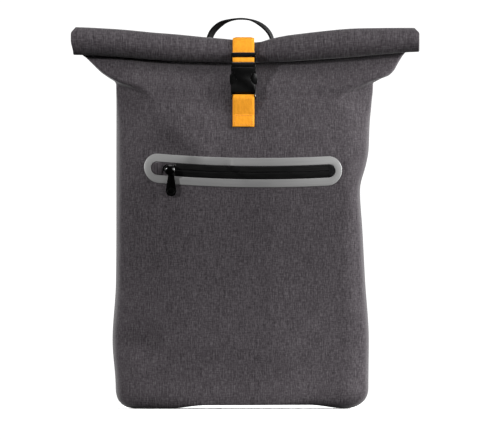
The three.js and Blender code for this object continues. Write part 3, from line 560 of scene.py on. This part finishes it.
def roll_ring(turn, inset):
    shrink = ROLL_PITCH * turn / (2 * math.pi)
    a, b = ROLL_DEPTH / 2 - shrink, ROLL_HEIGHT / 2 - shrink
    cos, sin = math.cos(turn), math.sin(turn)
    normal = unit([b * cos, a * sin])
    p = outline(section_at(NECK_Z), inset)
    widen = min(1, turn / (math.pi / 2))
    tip = np.where(p[:, 0] > 0, ROLL_RIGHT, ROLL_LEFT)
    trim = ROLL_TRIM * max(0, sin - ROLL_TRIM_FROM) / (1 - ROLL_TRIM_FROM)
    trim = trim + np.where(p[:, 0] < 0, ROLL_TUCK * smooth(ROLL_TUCK_FROM, ROLL_TUCK_TO, sin), 0)
    trim = trim * smooth(*ROLL_END, np.abs(p[:, 0]))
    x = p[:, 0] * (1 + (tip / NECK_HALF - 1) * widen) - np.sign(p[:, 0]) * trim
    drop, size, lean = roll_form(x)
    offset = p[:, 1] - COLLAR_Y
    ahead = a * math.copysign(abs(cos) ** ROLL_POINT, cos) + lean * b * sin
    y = COLLAR_Y + size * (ahead - ROLL_DEPTH / 2) + offset * normal[0]
    z = NECK_Z + size * (ROLL_Z - NECK_Z + b * sin) + offset * normal[1]
    return np.stack([x, y, z + drop], axis=1)


def sack_rings(inset):
    rings = [base_ring(turn, inset) for turn in np.linspace(1, 0, BASE_STEPS, endpoint=False)]
    rings += [wall_ring(z, inset) for z in RING_HEIGHTS]
    turns = np.arange(0, int(ROLL_TURNS * ROLL_STEPS) + 1) * 2 * math.pi / ROLL_STEPS
    rings += [roll_ring(turn, inset) for turn in turns[1:]]
    return rings


def grain(ring):
    """Steps round a ring of the sack, measured from the middle of the front or of the back."""
    spans = round_spans(ring)
    half = len(ring) // 2
    side = (half + FACE_STEPS["front"] - FACE_STEPS["back"]) // 2
    spans[side:-side] -= spans[half, 0]
    spans[-side:] -= spans[-1, 1]
    return spans


def make_sack():
    """Outer skin, rim inside the roll, coarser inner skin, and the floor of each."""
    outer, inner = sack_rings(0), sack_rings(WALL)
    keep = sorted(set(range(0, len(inner), INNER_EVERY)) | {len(inner) - 1})
    floor, middle = floor_rings(outer[0], 0)
    inner_floor, inner_middle = floor_rings(inner[0], WALL)
    inner = [inner[k] for k in keep][::-1]
    rings = floor[::-1] + outer + inner + inner_floor
    vs = lengths(np.array([r[0] for r in rings])) * MM
    make = Builder()
    starts = [make.add(r) for r in rings]
    neck = grain(wall_ring(NECK_Z, 0))
    first, last = len(floor) + BASE_STEPS + len(RING_HEIGHTS), len(floor) + len(outer)
    spans = [neck if first <= k < last else grain(r) for k, r in enumerate(rings)]
    make.skin(starts, np.array(spans), vs)
    for end, point, order in ((0, middle, -1), (-1, inner_middle, 1)):
        start, centre = starts[end], make.add(point)
        flat = rings[end][:, :2] * MM
        for i in range(len(flat)):
            j = (i + 1) % len(flat)
            uvs = (tuple(flat[i]), tuple(flat[j]), (0, 0))
            make.face((start + i, start + j, centre)[::order], uvs[::order])
    return finish_piece(make.make("backpack_sack"), CLOTH, ["body_shell"])


# Nodes of materials

class Shader:
    """Short ways to add and join nodes of one material."""

    def __init__(self, name, roughness, **sockets):
        self.material = bpy.data.materials.new(name)
        self.material.use_nodes = True
        self.tree = self.material.node_tree
        self.bsdf = self.tree.nodes["Principled BSDF"]
        self.fill(self.bsdf, {"Roughness": roughness})
        self.fill(self.bsdf, {key.replace("_", " "): value for key, value in sockets.items()})

    def fill(self, node, inputs):
        """Sets inputs of a node, or links them to outputs of others."""
        for key, value in inputs.items():
            if isinstance(value, bpy.types.NodeSocket):
                self.tree.links.new(value, node.inputs[key])
            else:
                node.inputs[key].default_value = value

    def node(self, kind, inputs, **settings):
        made = settle(self.tree.nodes.new("ShaderNode" + kind), **settings)
        self.fill(made, inputs)
        return made.outputs

    def coordinates(self, scale=(1, 1, 1), source="UV", turn=(0, 0, 0)):
        """Coordinates in metres times a scale for each axis, then turned."""
        where = self.node("TexCoord", {})[source]
        return self.node("Mapping", {"Vector": where, "Scale": scale, "Rotation": turn})["Vector"]

    def noise(self, scale, detail, source="UV"):
        where = self.coordinates(scale, source)
        inputs = {"Vector": where, "Scale": 1, "Detail": detail, "Roughness": NOISE_ROUGHNESS}
        return self.node("TexNoise", inputs)["Fac"]

    def wave(self, direction, scale, source="UV"):
        inputs = {"Vector": self.coordinates(source=source), "Scale": scale}
        return self.node("TexWave", inputs, bands_direction=direction)["Fac"]

    def maths(self, operation, a, b):
        return self.node("Math", {0: a, 1: b}, operation=operation)[0]

    def blend(self, *parts):
        """Sum of values, each times its share."""
        first, *others = [self.maths("MULTIPLY", value, share) for value, share in parts]
        for other in others:
            first = self.maths("ADD", first, other)
        return first

    def colour(self, value, stops):
        """Colour along a ramp of places and colours."""
        made = self.tree.nodes.new("ShaderNodeValToRGB")
        elements = made.color_ramp.elements
        while len(elements) < len(stops):
            elements.new(0.5)
        for element, (place, colour) in zip(elements, stops):
            element.position = place
            element.color = (*colour, 1)
        self.fill(made, {"Fac": value})
        self.fill(self.bsdf, {"Base Color": made.outputs["Color"]})

    def rough(self, value, low, high):
        made = self.node("MapRange", {"Value": value, "To Min": low, "To Max": high})
        self.fill(self.bsdf, {"Roughness": made["Result"]})

    def bump(self, height, distance_mm, strength):
        made = self.node("Bump", {"Height": height, "Distance": distance_mm * MM, "Strength": strength})
        self.fill(self.bsdf, {"Normal": made["Normal"]})


NOISE_ROUGHNESS = 0.55
# Bands in a metre of a wave texture of scale one, and pitches of webbing
WAVE_BANDS, RIB_PITCH, YARN_PITCH = 3.2, 1.05, 0.9
# Slubs of the cloth: scale across, along and in depth, and share of the tone
HEATHER = (((1000, 240, 1), 0.36), ((1000, 55, 1), 0.31), ((150, 950, 1), 0.27), ((55, 40, 1), 0.06))


def heather_cloth():
    """Coated cloth of two greys: slubs along both yarns over a fine plain weave."""
    s = Shader("heather_cloth", 0.85, Specular_IOR_Level=0.2, Sheen_Weight=0.12, Sheen_Roughness=0.4)
    mixed = s.blend(*((s.noise(scale, 3), share) for scale, share in HEATHER))
    dark, mid, light = (0.0196, 0.0163, 0.0188), (0.0470, 0.0404, 0.0455), (0.088, 0.080, 0.086)
    s.colour(mixed, ((0.405, dark), (0.5, mid), (0.612, light)))
    weave = s.maths("MULTIPLY", s.wave("X", 180), s.wave("Y", 180))
    s.bump(s.maths("ADD", weave, mixed), 0.12, 0.5)
    s.rough(mixed, 0.75, 0.95)
    return s.material


def webbing(name, dark, light, gloss):
    """Woven webbing: ribs across, yarn flecks along."""
    s = Shader(name, 0.75, Specular_IOR_Level=gloss)
    ribs = s.wave("Y", 1 / (RIB_PITCH * MM) / WAVE_BANDS)
    yarns = s.wave("X", 1 / (YARN_PITCH * MM) / WAVE_BANDS)
    weave = s.maths("MULTIPLY", ribs, yarns)
    flecks = s.noise((420, 160, 1), 3)
    s.colour(s.blend((weave, 0.45), (flecks, 0.55)), ((0.2, dark), (0.62, light)))
    s.bump(weave, 0.25, 0.6)
    return s.material


def silver_tape():
    """Reflective band: a grey film with fine beads, brushed lengthwise."""
    s = Shader("silver_tape", 0.42, Metallic=0.6)
    beads = s.noise((1600, 1600, 1), 2)
    brushed = s.noise((14, 700, 1), 3)
    tone = s.blend((beads, 0.35), (brushed, 0.65))
    s.colour(tone, ((0.3, (0.255, 0.255, 0.255)), (0.7, (0.305, 0.304, 0.301))))
    s.rough(beads, 0.45, 0.6)
    s.bump(beads, 0.04, 0.4)
    return s.material


def zip_film():
    """Water-shedding black film over the zip."""
    s = Shader("zip_film", 0.4, Specular_IOR_Level=0.16)
    along = s.noise((60, 700, 1), 3)
    s.colour(along, ((0.3, (0.002, 0.002, 0.002)), (0.75, (0.005, 0.005, 0.005))))
    s.rough(along, 0.34, 0.52)
    s.bump(along, 0.06, 0.5)
    return s.material


def moulded_plastic(name, low, high, tone, gloss):
    """Moulded black plastic with a fine spark-eroded grain."""
    s = Shader(name, low, Specular_IOR_Level=gloss)
    fine = s.noise((2600, 2600, 2600), 3, "Object")
    cloudy = s.noise((90, 90, 90), 2, "Object")
    s.colour(cloudy, ((0.3, (tone * 0.7,) * 3), (0.7, (tone * 1.4,) * 3)))
    s.rough(cloudy, low, high)
    s.bump(fine, 0.03, 0.35)
    return s.material


def pad_mesh():
    """Spacer mesh of the shoulder pads: a close net of small holes, laid on from behind and above."""
    s = Shader("pad_mesh", 0.85, Sheen_Weight=0.06, Sheen_Roughness=0.5)
    laid = s.coordinates(source="Object", turn=(math.radians(-120), 0, 0))
    cells = s.node("TexVoronoi", {"Vector": laid, "Scale": 420, "Randomness": 0.25},
                   feature="DISTANCE_TO_EDGE", voronoi_dimensions="2D")["Distance"]
    s.colour(cells, ((0.05, (0.026, 0.026, 0.0275)), (0.3, (0.006, 0.006, 0.006))))
    s.bump(s.maths("MULTIPLY", cells, -1), 0.5, 0.7)
    return s.material


def sewing_thread():
    s = Shader("orange_thread", 0.6, Sheen_Weight=0.2)
    twist = s.wave("DIAGONAL", 900, "Object")
    colour = (0.85, 0.28, 0.02)
    s.colour(twist, ((0.2, tuple(0.65 * c for c in colour)), (0.8, colour)))
    s.bump(twist, 0.1, 0.5)
    return s.material


CLOTH = heather_cloth()
ORANGE = webbing("orange_webbing", (0.66, 0.232, 0.0095), (0.91, 0.392, 0.025), 0.15)
BLACK_WEB = webbing("black_webbing", (0.003, 0.003, 0.003), (0.014, 0.014, 0.0145), 0.03)
SILVER = silver_tape()
FILM = zip_film()
PLASTIC = moulded_plastic("buckle_plastic", 0.18, 0.24, 0.002, 0.5)
GLOSS = moulded_plastic("slider_lacquer", 0.16, 0.2, 0.001, 0.3)
TAB = moulded_plastic("puller_plastic", 0.35, 0.45, 0.0008, 0.05)
PAD = pad_mesh()
THREAD = sewing_thread()

sack = make_sack()


# Where the sack's face is

SURFACE = BVHTree.FromPolygons(
    [tuple(v.co) for v in sack.data.vertices], [tuple(p.vertices) for p in sack.data.polygons])


def hit(origin, aim):
    """Where a ray meets the sack, and how far that is."""
    point, _, _, distance = SURFACE.ray_cast(Vector(origin) * MM, Vector(aim))
    return np.array(point) / MM, distance / MM


def face_y(x, z, side):
    """Depth of the sack's face at a place, seen from the front (-1) or the back (1)."""
    far = 400
    return hit((x, side * far, z), (0, -side, 0))[0][1]


def proud(z, half_width, side, centre=0):
    """Farthest the face stands out across a strip on it."""
    return side * max(side * face_y(centre + k * half_width / 4, z, side) for k in range(-4, 5))


# Strips of webbing

def web_section(width, thick):
    """Section of webbing, anticlockwise, with rolled edges."""
    half, high = width / 2, thick / 2
    edge = high * WEB_SQUARE
    across = np.linspace(-half + WEB_EDGE, half - WEB_EDGE, WEB_POINTS)
    lower = np.array([*((a, -high) for a in across), (half, -edge), (half, edge)])
    return np.vstack([lower, -lower])


WEB_SECTION = web_section(WEB_WIDTH, WEB_THICK)


def sweep(name, path, across, section, cup=0):
    """Closed band along a path; across is one direction or one for each point, cup drops the edges."""
    along = unit(np.gradient(path, axis=0))
    across = np.broadcast_to(across, path.shape)
    across = unit(across - along * np.sum(across * along, axis=1, keepdims=True))
    normal = np.cross(along, across)
    make, starts = Builder(), []
    edge = (section[:, :1] / np.abs(section[:, 0]).max()) ** CUP_POWER
    for p, a, n, c in zip(path, across, normal, np.broadcast_to(cup, len(path))):
        starts.append(make.add(p + section[:, :1] * a + (section[:, 1:] - c * edge) * n))
    make.skin(starts, round_spans(section), lengths(path) * MM)
    make.close(starts, section)
    return make.make(name)


def in_depth(path):
    """Path of depth and height as points on the middle plane."""
    return np.column_stack([np.zeros(len(path)), path])


def laid_web(side, low, high, steps):
    """Path of webbing that lies on the front (-1) or the back (1), from low to high."""
    return [np.array([proud(z, WEB_WIDTH / 2, side) + side * WEB_OUT, z])
            for z in np.linspace(low, high, steps)]


# Zip of the front pocket

def on_front(x, dz, lift):
    """Point off the front wall, above or below the bowed line of the zip."""
    u = x / ZIP_SPAN
    z = ZIP_Z + ZIP_BOW * u * u + ZIP_LEAN * u + dz
    return (x, face_y(x, z, -1) - lift, z)


def stadium(x0, x1, half):
    """Stadium outline, clockwise from the left end of its top side."""
    r = half * ZIP_ROUND
    top = [(x, half) for x in np.linspace(x0 + r, x1 - r, ZIP_SIDE_STEPS, endpoint=False)]
    turn = np.linspace(math.pi / 2, -math.pi / 2, ZIP_END_STEPS, endpoint=False)
    right = [(x1 - r + r * math.cos(a), half * math.sin(a)) for a in turn]
    return np.array(top + right + [(x0 + x1 - x, -dz) for x, dz in top + right])


def laid_band(name, strips, closed=False):
    """Band on the front wall: strips of (x, dz, lift) points side by side, closed over its back and ends."""
    make = Builder()
    rows = [make.add([on_front(*p) for p in strip]) for strip in strips]
    count, last = len(strips[0]), rows[-1]
    wide = lengths(np.array([strip[0] for strip in strips])) * MM
    make.skin(rows, round_spans(np.array(strips[0])[:, :2]), wide, closed)
    for i in range(count if closed else count - 1):
        j = (i + 1) % count
        make.face((last + i, last + j, j, i))
    if not closed:
        for end, order in ((0, 1), (count - 1, -1)):
            make.face([row + end for row in rows][::order])
    return make.make(name)


def make_zip_frame():
    inner = stadium(ZIP_LEFT + ZIP_END, ZIP_RIGHT - ZIP_END, ZIP_HALF - ZIP_BAND)
    outer = stadium(ZIP_LEFT, ZIP_RIGHT, ZIP_HALF)
    strips = [np.column_stack([inner + (outer - inner) * share, np.full(len(inner), lift)])
              for share, lift in BAND_PROFILE]
    finish_piece(laid_band("zip_band", strips, closed=True), SILVER, ["zip_frame"])


def tape_height(x):
    """Half height of the window at a place, with its round ends."""
    into = np.maximum(WINDOW_LEFT + TAPE_HALF - x, x - WINDOW_RIGHT + TAPE_HALF).clip(0) / TAPE_HALF
    return TAPE_HALF * np.sqrt(np.maximum(TAPE_LEAST, 1 - into * into))


def make_tape(half, side):
    """Half of the zip: a film that rises from its edge to the closed middle."""
    low, x = TAPE_GAP / 2, np.linspace(TAPE_LEFT, TAPE_RIGHT, TAPE_STEPS)
    rise = tape_height(x) - low
    strips = [np.column_stack([x, side * (low + rise * share), np.full(TAPE_STEPS, lift)])[::side]
              for share, lift in FILM_PROFILE]
    finish_piece(laid_band(f"zip_film_{half}", strips), FILM, [f"zip_tape_{half}"])


def make_patch(name, left, right, lift, material, nodes=()):
    """Small padded patch that fills an end of the zip's window."""
    x, k = np.linspace(left, right, PATCH_STEPS), np.arange(PATCH_STEPS)
    fall = 1 - PATCH_FALL * (1 - np.minimum(k, k[::-1]) / 2).clip(0)
    strips = [np.column_stack([x, share * tape_height(x), PATCH_BASE + lift * rise * fall])
              for share, rise in PATCH_PROFILE]
    finish_piece(laid_band(name, strips), material, nodes)


make_zip_frame()
make_tape("upper", 1)
make_tape("lower", -1)
make_patch("zip_end_stop", STOP_LEFT, WINDOW_RIGHT, STOP_LIFT, BLACK_WEB)
make_patch("zip_left_patch", WINDOW_LEFT, GARAGE_RIGHT, GARAGE_LIFT, CLOTH, ["zip_garage"])


# Solids that stay: softened edges and a moulded finish

def soften(node, material, width, segments=2, clamp=True):
    """Material for a solid, and its edges rounded by a width in millimetres."""
    obj = NODES[node]
    obj.data.materials.clear()
    obj.data.materials.append(material)
    shade_smooth(obj.data)
    add = obj.modifiers.new
    settle(add("weld", "WELD"), merge_threshold=WELD)
    settle(add("flat", "DECIMATE"), decimate_type="DISSOLVE", angle_limit=FLAT_ANGLE)
    settle(add("edge", "BEVEL"), width=width * MM, segments=segments, limit_method="ANGLE",
           angle_limit=EDGE_ANGLE, harden_normals=True, use_clamp_overlap=clamp)


def make_slider_cap():
    """Domed cap over the slider's bail, clear of the puller's eye under it."""
    low, high = (np.array(c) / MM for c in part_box("zip_slider"))
    centre = (low + high) / 2
    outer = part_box("zip_puller")[0][1] / MM - CAP_CLEAR
    turn = circle(CAP_STEPS)
    make, starts = Builder(), []
    for share, rise in CAP_PROFILE:
        ring = [(centre[0] + CAP_SHIFT + CAP_HALF[0] * share * cos, outer - CAP_HIGH * rise,
                 centre[2] - CAP_SINK + CAP_HALF[1] * share * sin) for cos, sin in turn]
        starts.append(make.add(ring))
    make.skin(starts, round_spans(turn * CAP_HALF[0]), np.linspace(0, 0.01, len(starts)))
    make.close(starts, turn * 0)
    finish_piece(make.make("zip_slider_cap"), GLOSS)


make_slider_cap()
soften("buckle_socket", PLASTIC, 0.8, 3)
soften("buckle_prong", PLASTIC, 0.45, 3, clamp=False)
soften("zip_slider", GLOSS, 0.45)
soften("zip_puller", TAB, 0.3)
for side in ("left", "right"):
    soften(f"strap_adjuster_{side}", PLASTIC, 0.5)


# Closure straps

def buckle_point(up, out):
    """Depth and height of a place up the leaning buckle and out of its face."""
    sin, cos = math.sin(BUCKLE_LEAN), math.cos(BUCKLE_LEAN)
    return np.array([BUCKLE_Y + up * sin - out * cos, BUCKLE_Z + up * cos + out * sin])


def roll_wrap():
    """Half turn of the strap over the roll, hugging it."""
    drop, size, _ = roll_form(0)
    middle = np.array([COLLAR_Y - size * ROLL_DEPTH / 2, NECK_Z + size * (ROLL_Z - NECK_Z) + drop])
    wrap = []
    for angle in np.linspace(0, math.pi, WRAP_STEPS):
        aim = np.array([math.cos(angle), math.sin(angle)])
        start = middle + WRAP_FAR * aim
        places = np.linspace(-WEB_WIDTH / 2, WEB_WIDTH / 2, WEB_POINTS)
        reach = WRAP_FAR - min(hit((x, *start), (0, *-aim))[1] for x in places)
        wrap.append(middle + aim * (reach + WEB_OUT + STRAP_RISE * aim[1] ** 2))
    return wrap


def make_upper_strap():
    """From the back over the roll and through the ladder of the buckle."""
    path = laid_web(1, BACK_BOTTOM, BACK_TOP, BACK_STEPS) + roll_wrap()
    behind, before = LADDER_BEHIND - WEB_OUT, LADDER_BEFORE + WEB_OUT
    stops = ((LADDER_HEAD - HEAD_LAP, behind), (SLOT_HIGH, behind), (SLOT_HIGH, before),
             (SLOT_LOW, before), (SLOT_LOW, behind), (BAR_TOP - BAR_LAP, behind))
    path += [buckle_point(*s) for s in stops]
    path = resample(fillet(path, UPPER_FILLET), WEB_STEP)
    top = path[:, 1].max()
    cup = STRAP_CUP * smooth(top - CUP_DEPTH, top, path[:, 1])
    obj = sweep("closure_web_upper", in_depth(path), (1, 0, 0), WEB_SECTION, cup)
    finish_piece(obj, ORANGE, ["closure_strap_upper"])


def make_lower_strap():
    """Up the front, round the bar of the buckle's socket and down behind itself."""
    path = laid_web(-1, FRONT_BOTTOM, FRONT_TOP, FRONT_STEPS)
    low, over = SOCKET_END - SOCKET_LAP, BAR_OVER + WEB_OUT
    stops = ((low, over), (SOCKET_SLOT, over), (SOCKET_SLOT, -over), (low, -over))
    path += [buckle_point(*s) for s in stops]
    y, z = path[-1] - (TAIL_OUT, TAIL_LENGTH)
    path.append(np.array([min(y, proud(z, WEB_WIDTH / 2, -1) - WEB_OUT), z]))
    path = resample(fillet(path, LOWER_FILLET), WEB_STEP)
    obj = sweep("closure_web_lower", in_depth(path), (1, 0, 0), WEB_SECTION)
    finish_piece(obj, ORANGE, ["closure_strap_lower"])


def add_stitches(make, line):
    """Row of sewn stitches: short threads with both ends sunk into the webbing."""
    run = lengths(line)
    up = unit(STITCH_OUTWARD)
    rise = np.array(STITCH_RISE)[:, None] * STITCH_THICK * STITCH_SPREAD
    turn = circle(STITCH_SIDES)
    for start in np.arange(0, run[-1] - STITCH_LENGTH, STITCH_LENGTH + STITCH_GAP):
        at = start + STITCH_LENGTH * np.linspace(0, 1, len(STITCH_RISE))
        centre = np.stack([np.interp(at, run, line[:, k]) for k in range(3)], axis=1) + rise * up
        side = unit(np.cross(unit(centre[-1] - centre[0]), STITCH_OUTWARD))
        ring = turn[:, :1] * side + turn[:, 1:] * up
        starts = [make.add(c + ring * STITCH_THICK * girth) for c, girth in zip(centre, STITCH_GIRTH)]
        make.skin(starts, round_spans(ring * STITCH_THICK), at * MM)
        make.close(starts, turn * 0)


def make_front_stitches():
    """Sewn square on the front strap."""
    half, lift = WEB_WIDTH / 2 - STITCH_INSET, SEAT + WEB_THICK
    corners = ((-half, STITCH_LOW), (half, STITCH_LOW), (half, STITCH_HIGH), (-half, STITCH_HIGH))
    square = np.array([*corners, corners[0]])
    make = Builder()
    for a, b in zip(square, square[1:]):
        points = a + (b - a) * np.linspace(0, 1, STITCH_POINTS)[:, None]
        add_stitches(make, np.array([(x, proud(z, WEB_WIDTH / 2, -1) - lift, z) for x, z in points]))
    finish_piece(make.make("front_stitches"), THREAD)


make_upper_strap()
make_lower_strap()
make_front_stitches()


# Grab handle

def handle_leg(sign):
    """Points of a sewn leg from its end up."""
    x = HANDLE_X + sign * HANDLE_HALF
    out = SEAT + HANDLE_GAP + HANDLE_THICK / 2
    return [(x, proud(z, HANDLE_WIDTH / 2, 1, x) + out + dy, z) for z, dy in HANDLE_LEG]


def make_handle():
    arch = [(HANDLE_X + x, y, z) for x, y, z in HANDLE_ARCH]
    points = [*handle_leg(-1), *arch, *handle_leg(1)[::-1]]
    path = resample(spline(points, HANDLE_SPAN_STEPS), HANDLE_STEP)
    run = lengths(path) / lengths(path)[-1]
    u = 1 - np.abs(2 * run - 1)
    turn = np.where(run < 0.5, HANDLE_TURN_LEFT, HANDLE_TURN_RIGHT)
    twist = HANDLE_TWIST * (1 - smooth(*HANDLE_UNTWISTS, u))
    angle = (turn + twist) * smooth(*HANDLE_TURNS, u) + (math.pi / 2 - turn) * smooth(*HANDLE_ACROSS, u)
    across = np.stack([np.cos(angle), np.sin(angle), np.zeros_like(angle)], axis=1)
    obj = sweep("handle_web", path, across, web_section(HANDLE_WIDTH, HANDLE_THICK))
    finish_piece(obj, BLACK_WEB, ["grab_handle"])


make_handle()


# Shoulder straps

def back_of(z):
    """Farthest the back stands out near a height."""
    return max(proud(z + dz, BACK_HALF, 1) for dz in BACK_LOOK)


def strap_to_world(p, sign):
    """Points of a strap's own leaning plane in the frame of the whole."""
    sin, cos = math.sin(-sign * STRAP_LEAN), math.cos(STRAP_LEAN)
    x = p[:, 0] * cos + p[:, 2] * sin + sign * (STRAP_X + STRAP_PIVOT * math.sin(STRAP_LEAN))
    z = -p[:, 0] * sin + p[:, 2] * cos + STRAP_PIVOT * (1 - cos)
    return np.stack([x, p[:, 1], z], axis=1)


def strap_across(sign):
    return np.array([math.cos(STRAP_LEAN), 0, sign * math.sin(STRAP_LEAN)])


PAD_STAND = SEAT + PAD_THICK / 2
PAD_LINE = np.array([(back_of(min(z, PAD_SEWN)) + PAD_STAND + off, z) for off, z in PAD_PATH])
PAD_END = PAD_LINE[-1]
PAD_AIM = unit(PAD_LINE[-1] - PAD_LINE[-2])


def beside_adjuster(along, out):
    """Depth and height of a place below the pad and out of the adjuster's face."""
    return PAD_END + PAD_AIM * along + np.array([-PAD_AIM[1], PAD_AIM[0]]) * out


def adjuster_slot(k):
    """How far below the pad the middle of a slot is."""
    third = (ADJUSTER_LENGTH - ADJUSTER_RAIL * 4) / 3
    return SEAT + ADJUSTER_RAIL + third / 2 + k * (third + ADJUSTER_RAIL)


def loop_path():
    """Short loop that holds the adjuster's first rail to the end of the pad."""
    half = (LOOP_START, (LOOP_TURN, ADJUSTER_OVER), (adjuster_slot(0), ADJUSTER_OVER))
    stops = [*half, *((along, -out) for along, out in half[::-1])]
    return resample(fillet([beside_adjuster(*s) for s in stops], LOOP_FILLET), WEB_STEP)


def strap_path():
    """Through the adjuster's lower slots and down to the sewn end at the foot of the back."""
    over, upper, lower = ADJUSTER_OVER, adjuster_slot(1), adjuster_slot(2)
    stops = ((upper - STRAP_LAP, -over), (upper, -over), (upper, over), (lower, over), (lower, -over),
             (ADJUSTER_LENGTH + STRAP_BELOW, -over))
    path = [beside_adjuster(*s) for s in stops]
    path += [np.array([back_of(felt) + WEB_OUT + off, z]) for z, felt, off in STRAP_TAIL]
    return resample(fillet(path, STRAP_FILLET), STRAP_STEP)


def inflate(obj):
    """Swells a pad with cloth simulation and keeps each point near where it began."""
    start = np.array([v.co for v in obj.data.vertices])
    cloth = obj.modifiers.new("swell", "CLOTH")
    settle(cloth.settings, use_pressure=True, uniform_pressure_force=PAD_PRESSURE, quality=PAD_QUALITY)
    cloth.settings.effector_weights.gravity = 0
    cloth.collision_settings.use_collision = False
    scene = bpy.context.scene
    scene.frame_start, scene.frame_end = 1, PAD_FRAMES
    for f in range(1, PAD_FRAMES + 1):
        scene.frame_set(f)
    shape = obj.evaluated_get(bpy.context.evaluated_depsgraph_get()).data
    moved = np.array([v.co for v in shape.vertices]) - start
    obj.modifiers.remove(cloth)
    far = np.linalg.norm(moved, axis=1, keepdims=True)
    moved *= np.minimum(1, PAD_SWELL * MM / np.maximum(far, 1e-9))
    obj.data.vertices.foreach_set("co", (start + moved).astype(np.float32).ravel())
    obj.data.update()
    scene.frame_set(1)


def make_pad(side):
    """Pad from a slightly smaller copy of its solid, swollen and smoothed."""
    node = f"shoulder_pad_{side}"
    obj = link_object(f"shoulder_padding_{side}", NODES[node].data.copy())
    obj.data.materials.clear()
    shape = bmesh.new()
    shape.from_mesh(obj.data)
    bmesh.ops.remove_doubles(shape, verts=shape.verts, dist=WELD)
    shape.normal_update()
    for v in shape.verts:
        v.co -= v.normal * PAD_SHRINK * MM
    shape.to_mesh(obj.data)
    shape.free()
    settle(obj.modifiers.new("remesh", "REMESH"), mode="VOXEL", voxel_size=PAD_VOXEL * MM)
    mesh = bpy.data.meshes.new_from_object(obj.evaluated_get(bpy.context.evaluated_depsgraph_get()))
    obj.modifiers.clear()
    obj.data = mesh
    inflate(obj)
    shade_smooth(obj.data)
    settle(obj.modifiers.new("soft", "SUBSURF"), levels=1, render_levels=1)
    finish_piece(obj, PAD, [node])


def make_binding(side, sign):
    """Tape bound round the long edges of a pad."""
    line = resample(fillet(PAD_LINE, BINDING_ROUND, BINDING_ROUND_STEPS), BINDING_STEP)[1:-2]
    section = circle(BINDING_SIDES) * (BINDING_HALF, PAD_THICK / 2 - BINDING_THIN)
    for edge, at in (("inner", -1), ("outer", 1)):
        x = at * sign * (PAD_WIDTH / 2 - BINDING_IN)
        path = strap_to_world(np.column_stack([np.full(len(line), x), line]), sign)
        obj = sweep(f"pad_binding_{side}_{edge}", path, strap_across(sign), section)
        finish_piece(obj, BLACK_WEB)


def make_straps():
    web, loop = strap_path(), loop_path()
    for side, sign in (("left", -1), ("right", 1)):
        make_pad(side)
        make_binding(side, sign)
        pieces = (("strap_web", web, [f"strap_webbing_{side}"]), ("adjuster_loop", loop, ()))
        for name, path, nodes in pieces:
            path = strap_to_world(in_depth(path), sign)
            obj = sweep(f"{name}_{side}", path, strap_across(sign), WEB_SECTION)
            finish_piece(obj, BLACK_WEB, nodes)


make_straps()


# Camera, light and floor

def make_camera():
    x = (IMAGE_WIDTH / 2 - AXIS_PIXEL) * MM_PER_PIXEL
    z = (FLOOR_PIXEL - IMAGE_HEIGHT / 2) * MM_PER_PIXEL
    target = Vector((x, FRONT_PLANE, z))
    back = Vector((0, -math.cos(CAMERA_ELEVATION), math.sin(CAMERA_ELEVATION)))
    data = bpy.data.cameras.new("camera")
    lens = SENSOR * CAMERA_DISTANCE / (IMAGE_WIDTH * MM_PER_PIXEL)
    settle(data, sensor_fit="HORIZONTAL", sensor_width=SENSOR, lens=lens)
    data.clip_start, data.clip_end = CLIP
    camera = link_object("camera", data)
    camera.location = (target + back * CAMERA_DISTANCE) * MM
    camera.rotation_euler = back.to_track_quat("Z", "Y").to_euler()
    bpy.context.scene.camera = camera


def area_light(name, place, size, watts, target=LIGHT_AIM, spread=180):
    data = bpy.data.lights.new(name, "AREA")
    settle(data, shape="RECTANGLE", size=size[0], size_y=size[1], energy=watts, spread=math.radians(spread))
    light = link_object(name, data)
    light.location = place
    light.rotation_euler = (Vector(place) - Vector(target)).to_track_quat("Z", "Y").to_euler()


def make_light():
    """Soft lights all round, and a white world that is seen but sheds no light."""
    world = bpy.data.worlds.new("studio")
    world.use_nodes = True
    inputs = world.node_tree.nodes["Background"].inputs
    inputs["Color"].default_value, inputs["Strength"].default_value = (1, 1, 1, 1), BACKDROP
    bpy.context.scene.world = world
    settle(world.cycles_visibility, diffuse=False, glossy=False)
    area_light("side_right", (2.0, -0.35, 0.6), (0.7, 1.1), 80)
    area_light("right_front", (1.9, -1.6, 0.9), (0.8, 0.8), 28)
    area_light("side_left", (-2.0, -0.35, 0.6), (0.45, 0.7), 7)
    area_light("key_left", (-2.5, -1.75, 1.3), (0.2, 0.2), 82)
    area_light("top", (0.1, -0.2, 2.3), (1.6, 1.2), 22)
    area_light("low_front", (0, -0.9, 0.09), (1.0, 0.1), 0.26, (0, 0, 0), 26)
    area_light("back_right", (1.5, 2.4, 0.8), (1.0, 1.0), 62)
    area_light("back_left", (-1.5, 2.4, 0.8), (1.0, 1.0), 62)


def make_floor():
    """Pale floor that throws no light back up at the cloth."""
    s = Shader("studio_paper", 0.9)
    fibre = s.noise((40, 40, 40), 2, "Object")
    s.colour(fibre, ((0.3, (0.95, 0.95, 0.95)), (0.7, (0.97, 0.97, 0.97))))
    corners = ((-1, -1, 0), (1, -1, 0), (1, 1, 0), (-1, 1, 0))
    floor = new_object("studio_floor", np.array(corners) * FLOOR_HALF, [(0, 1, 2, 3)])
    floor.data.materials.append(s.material)
    settle(floor, visible_diffuse=False, visible_glossy=False)


make_camera()
make_light()
make_floor()
bpy.context.scene.view_settings.view_transform = "Standard"

bpy.context.view_layer.update()
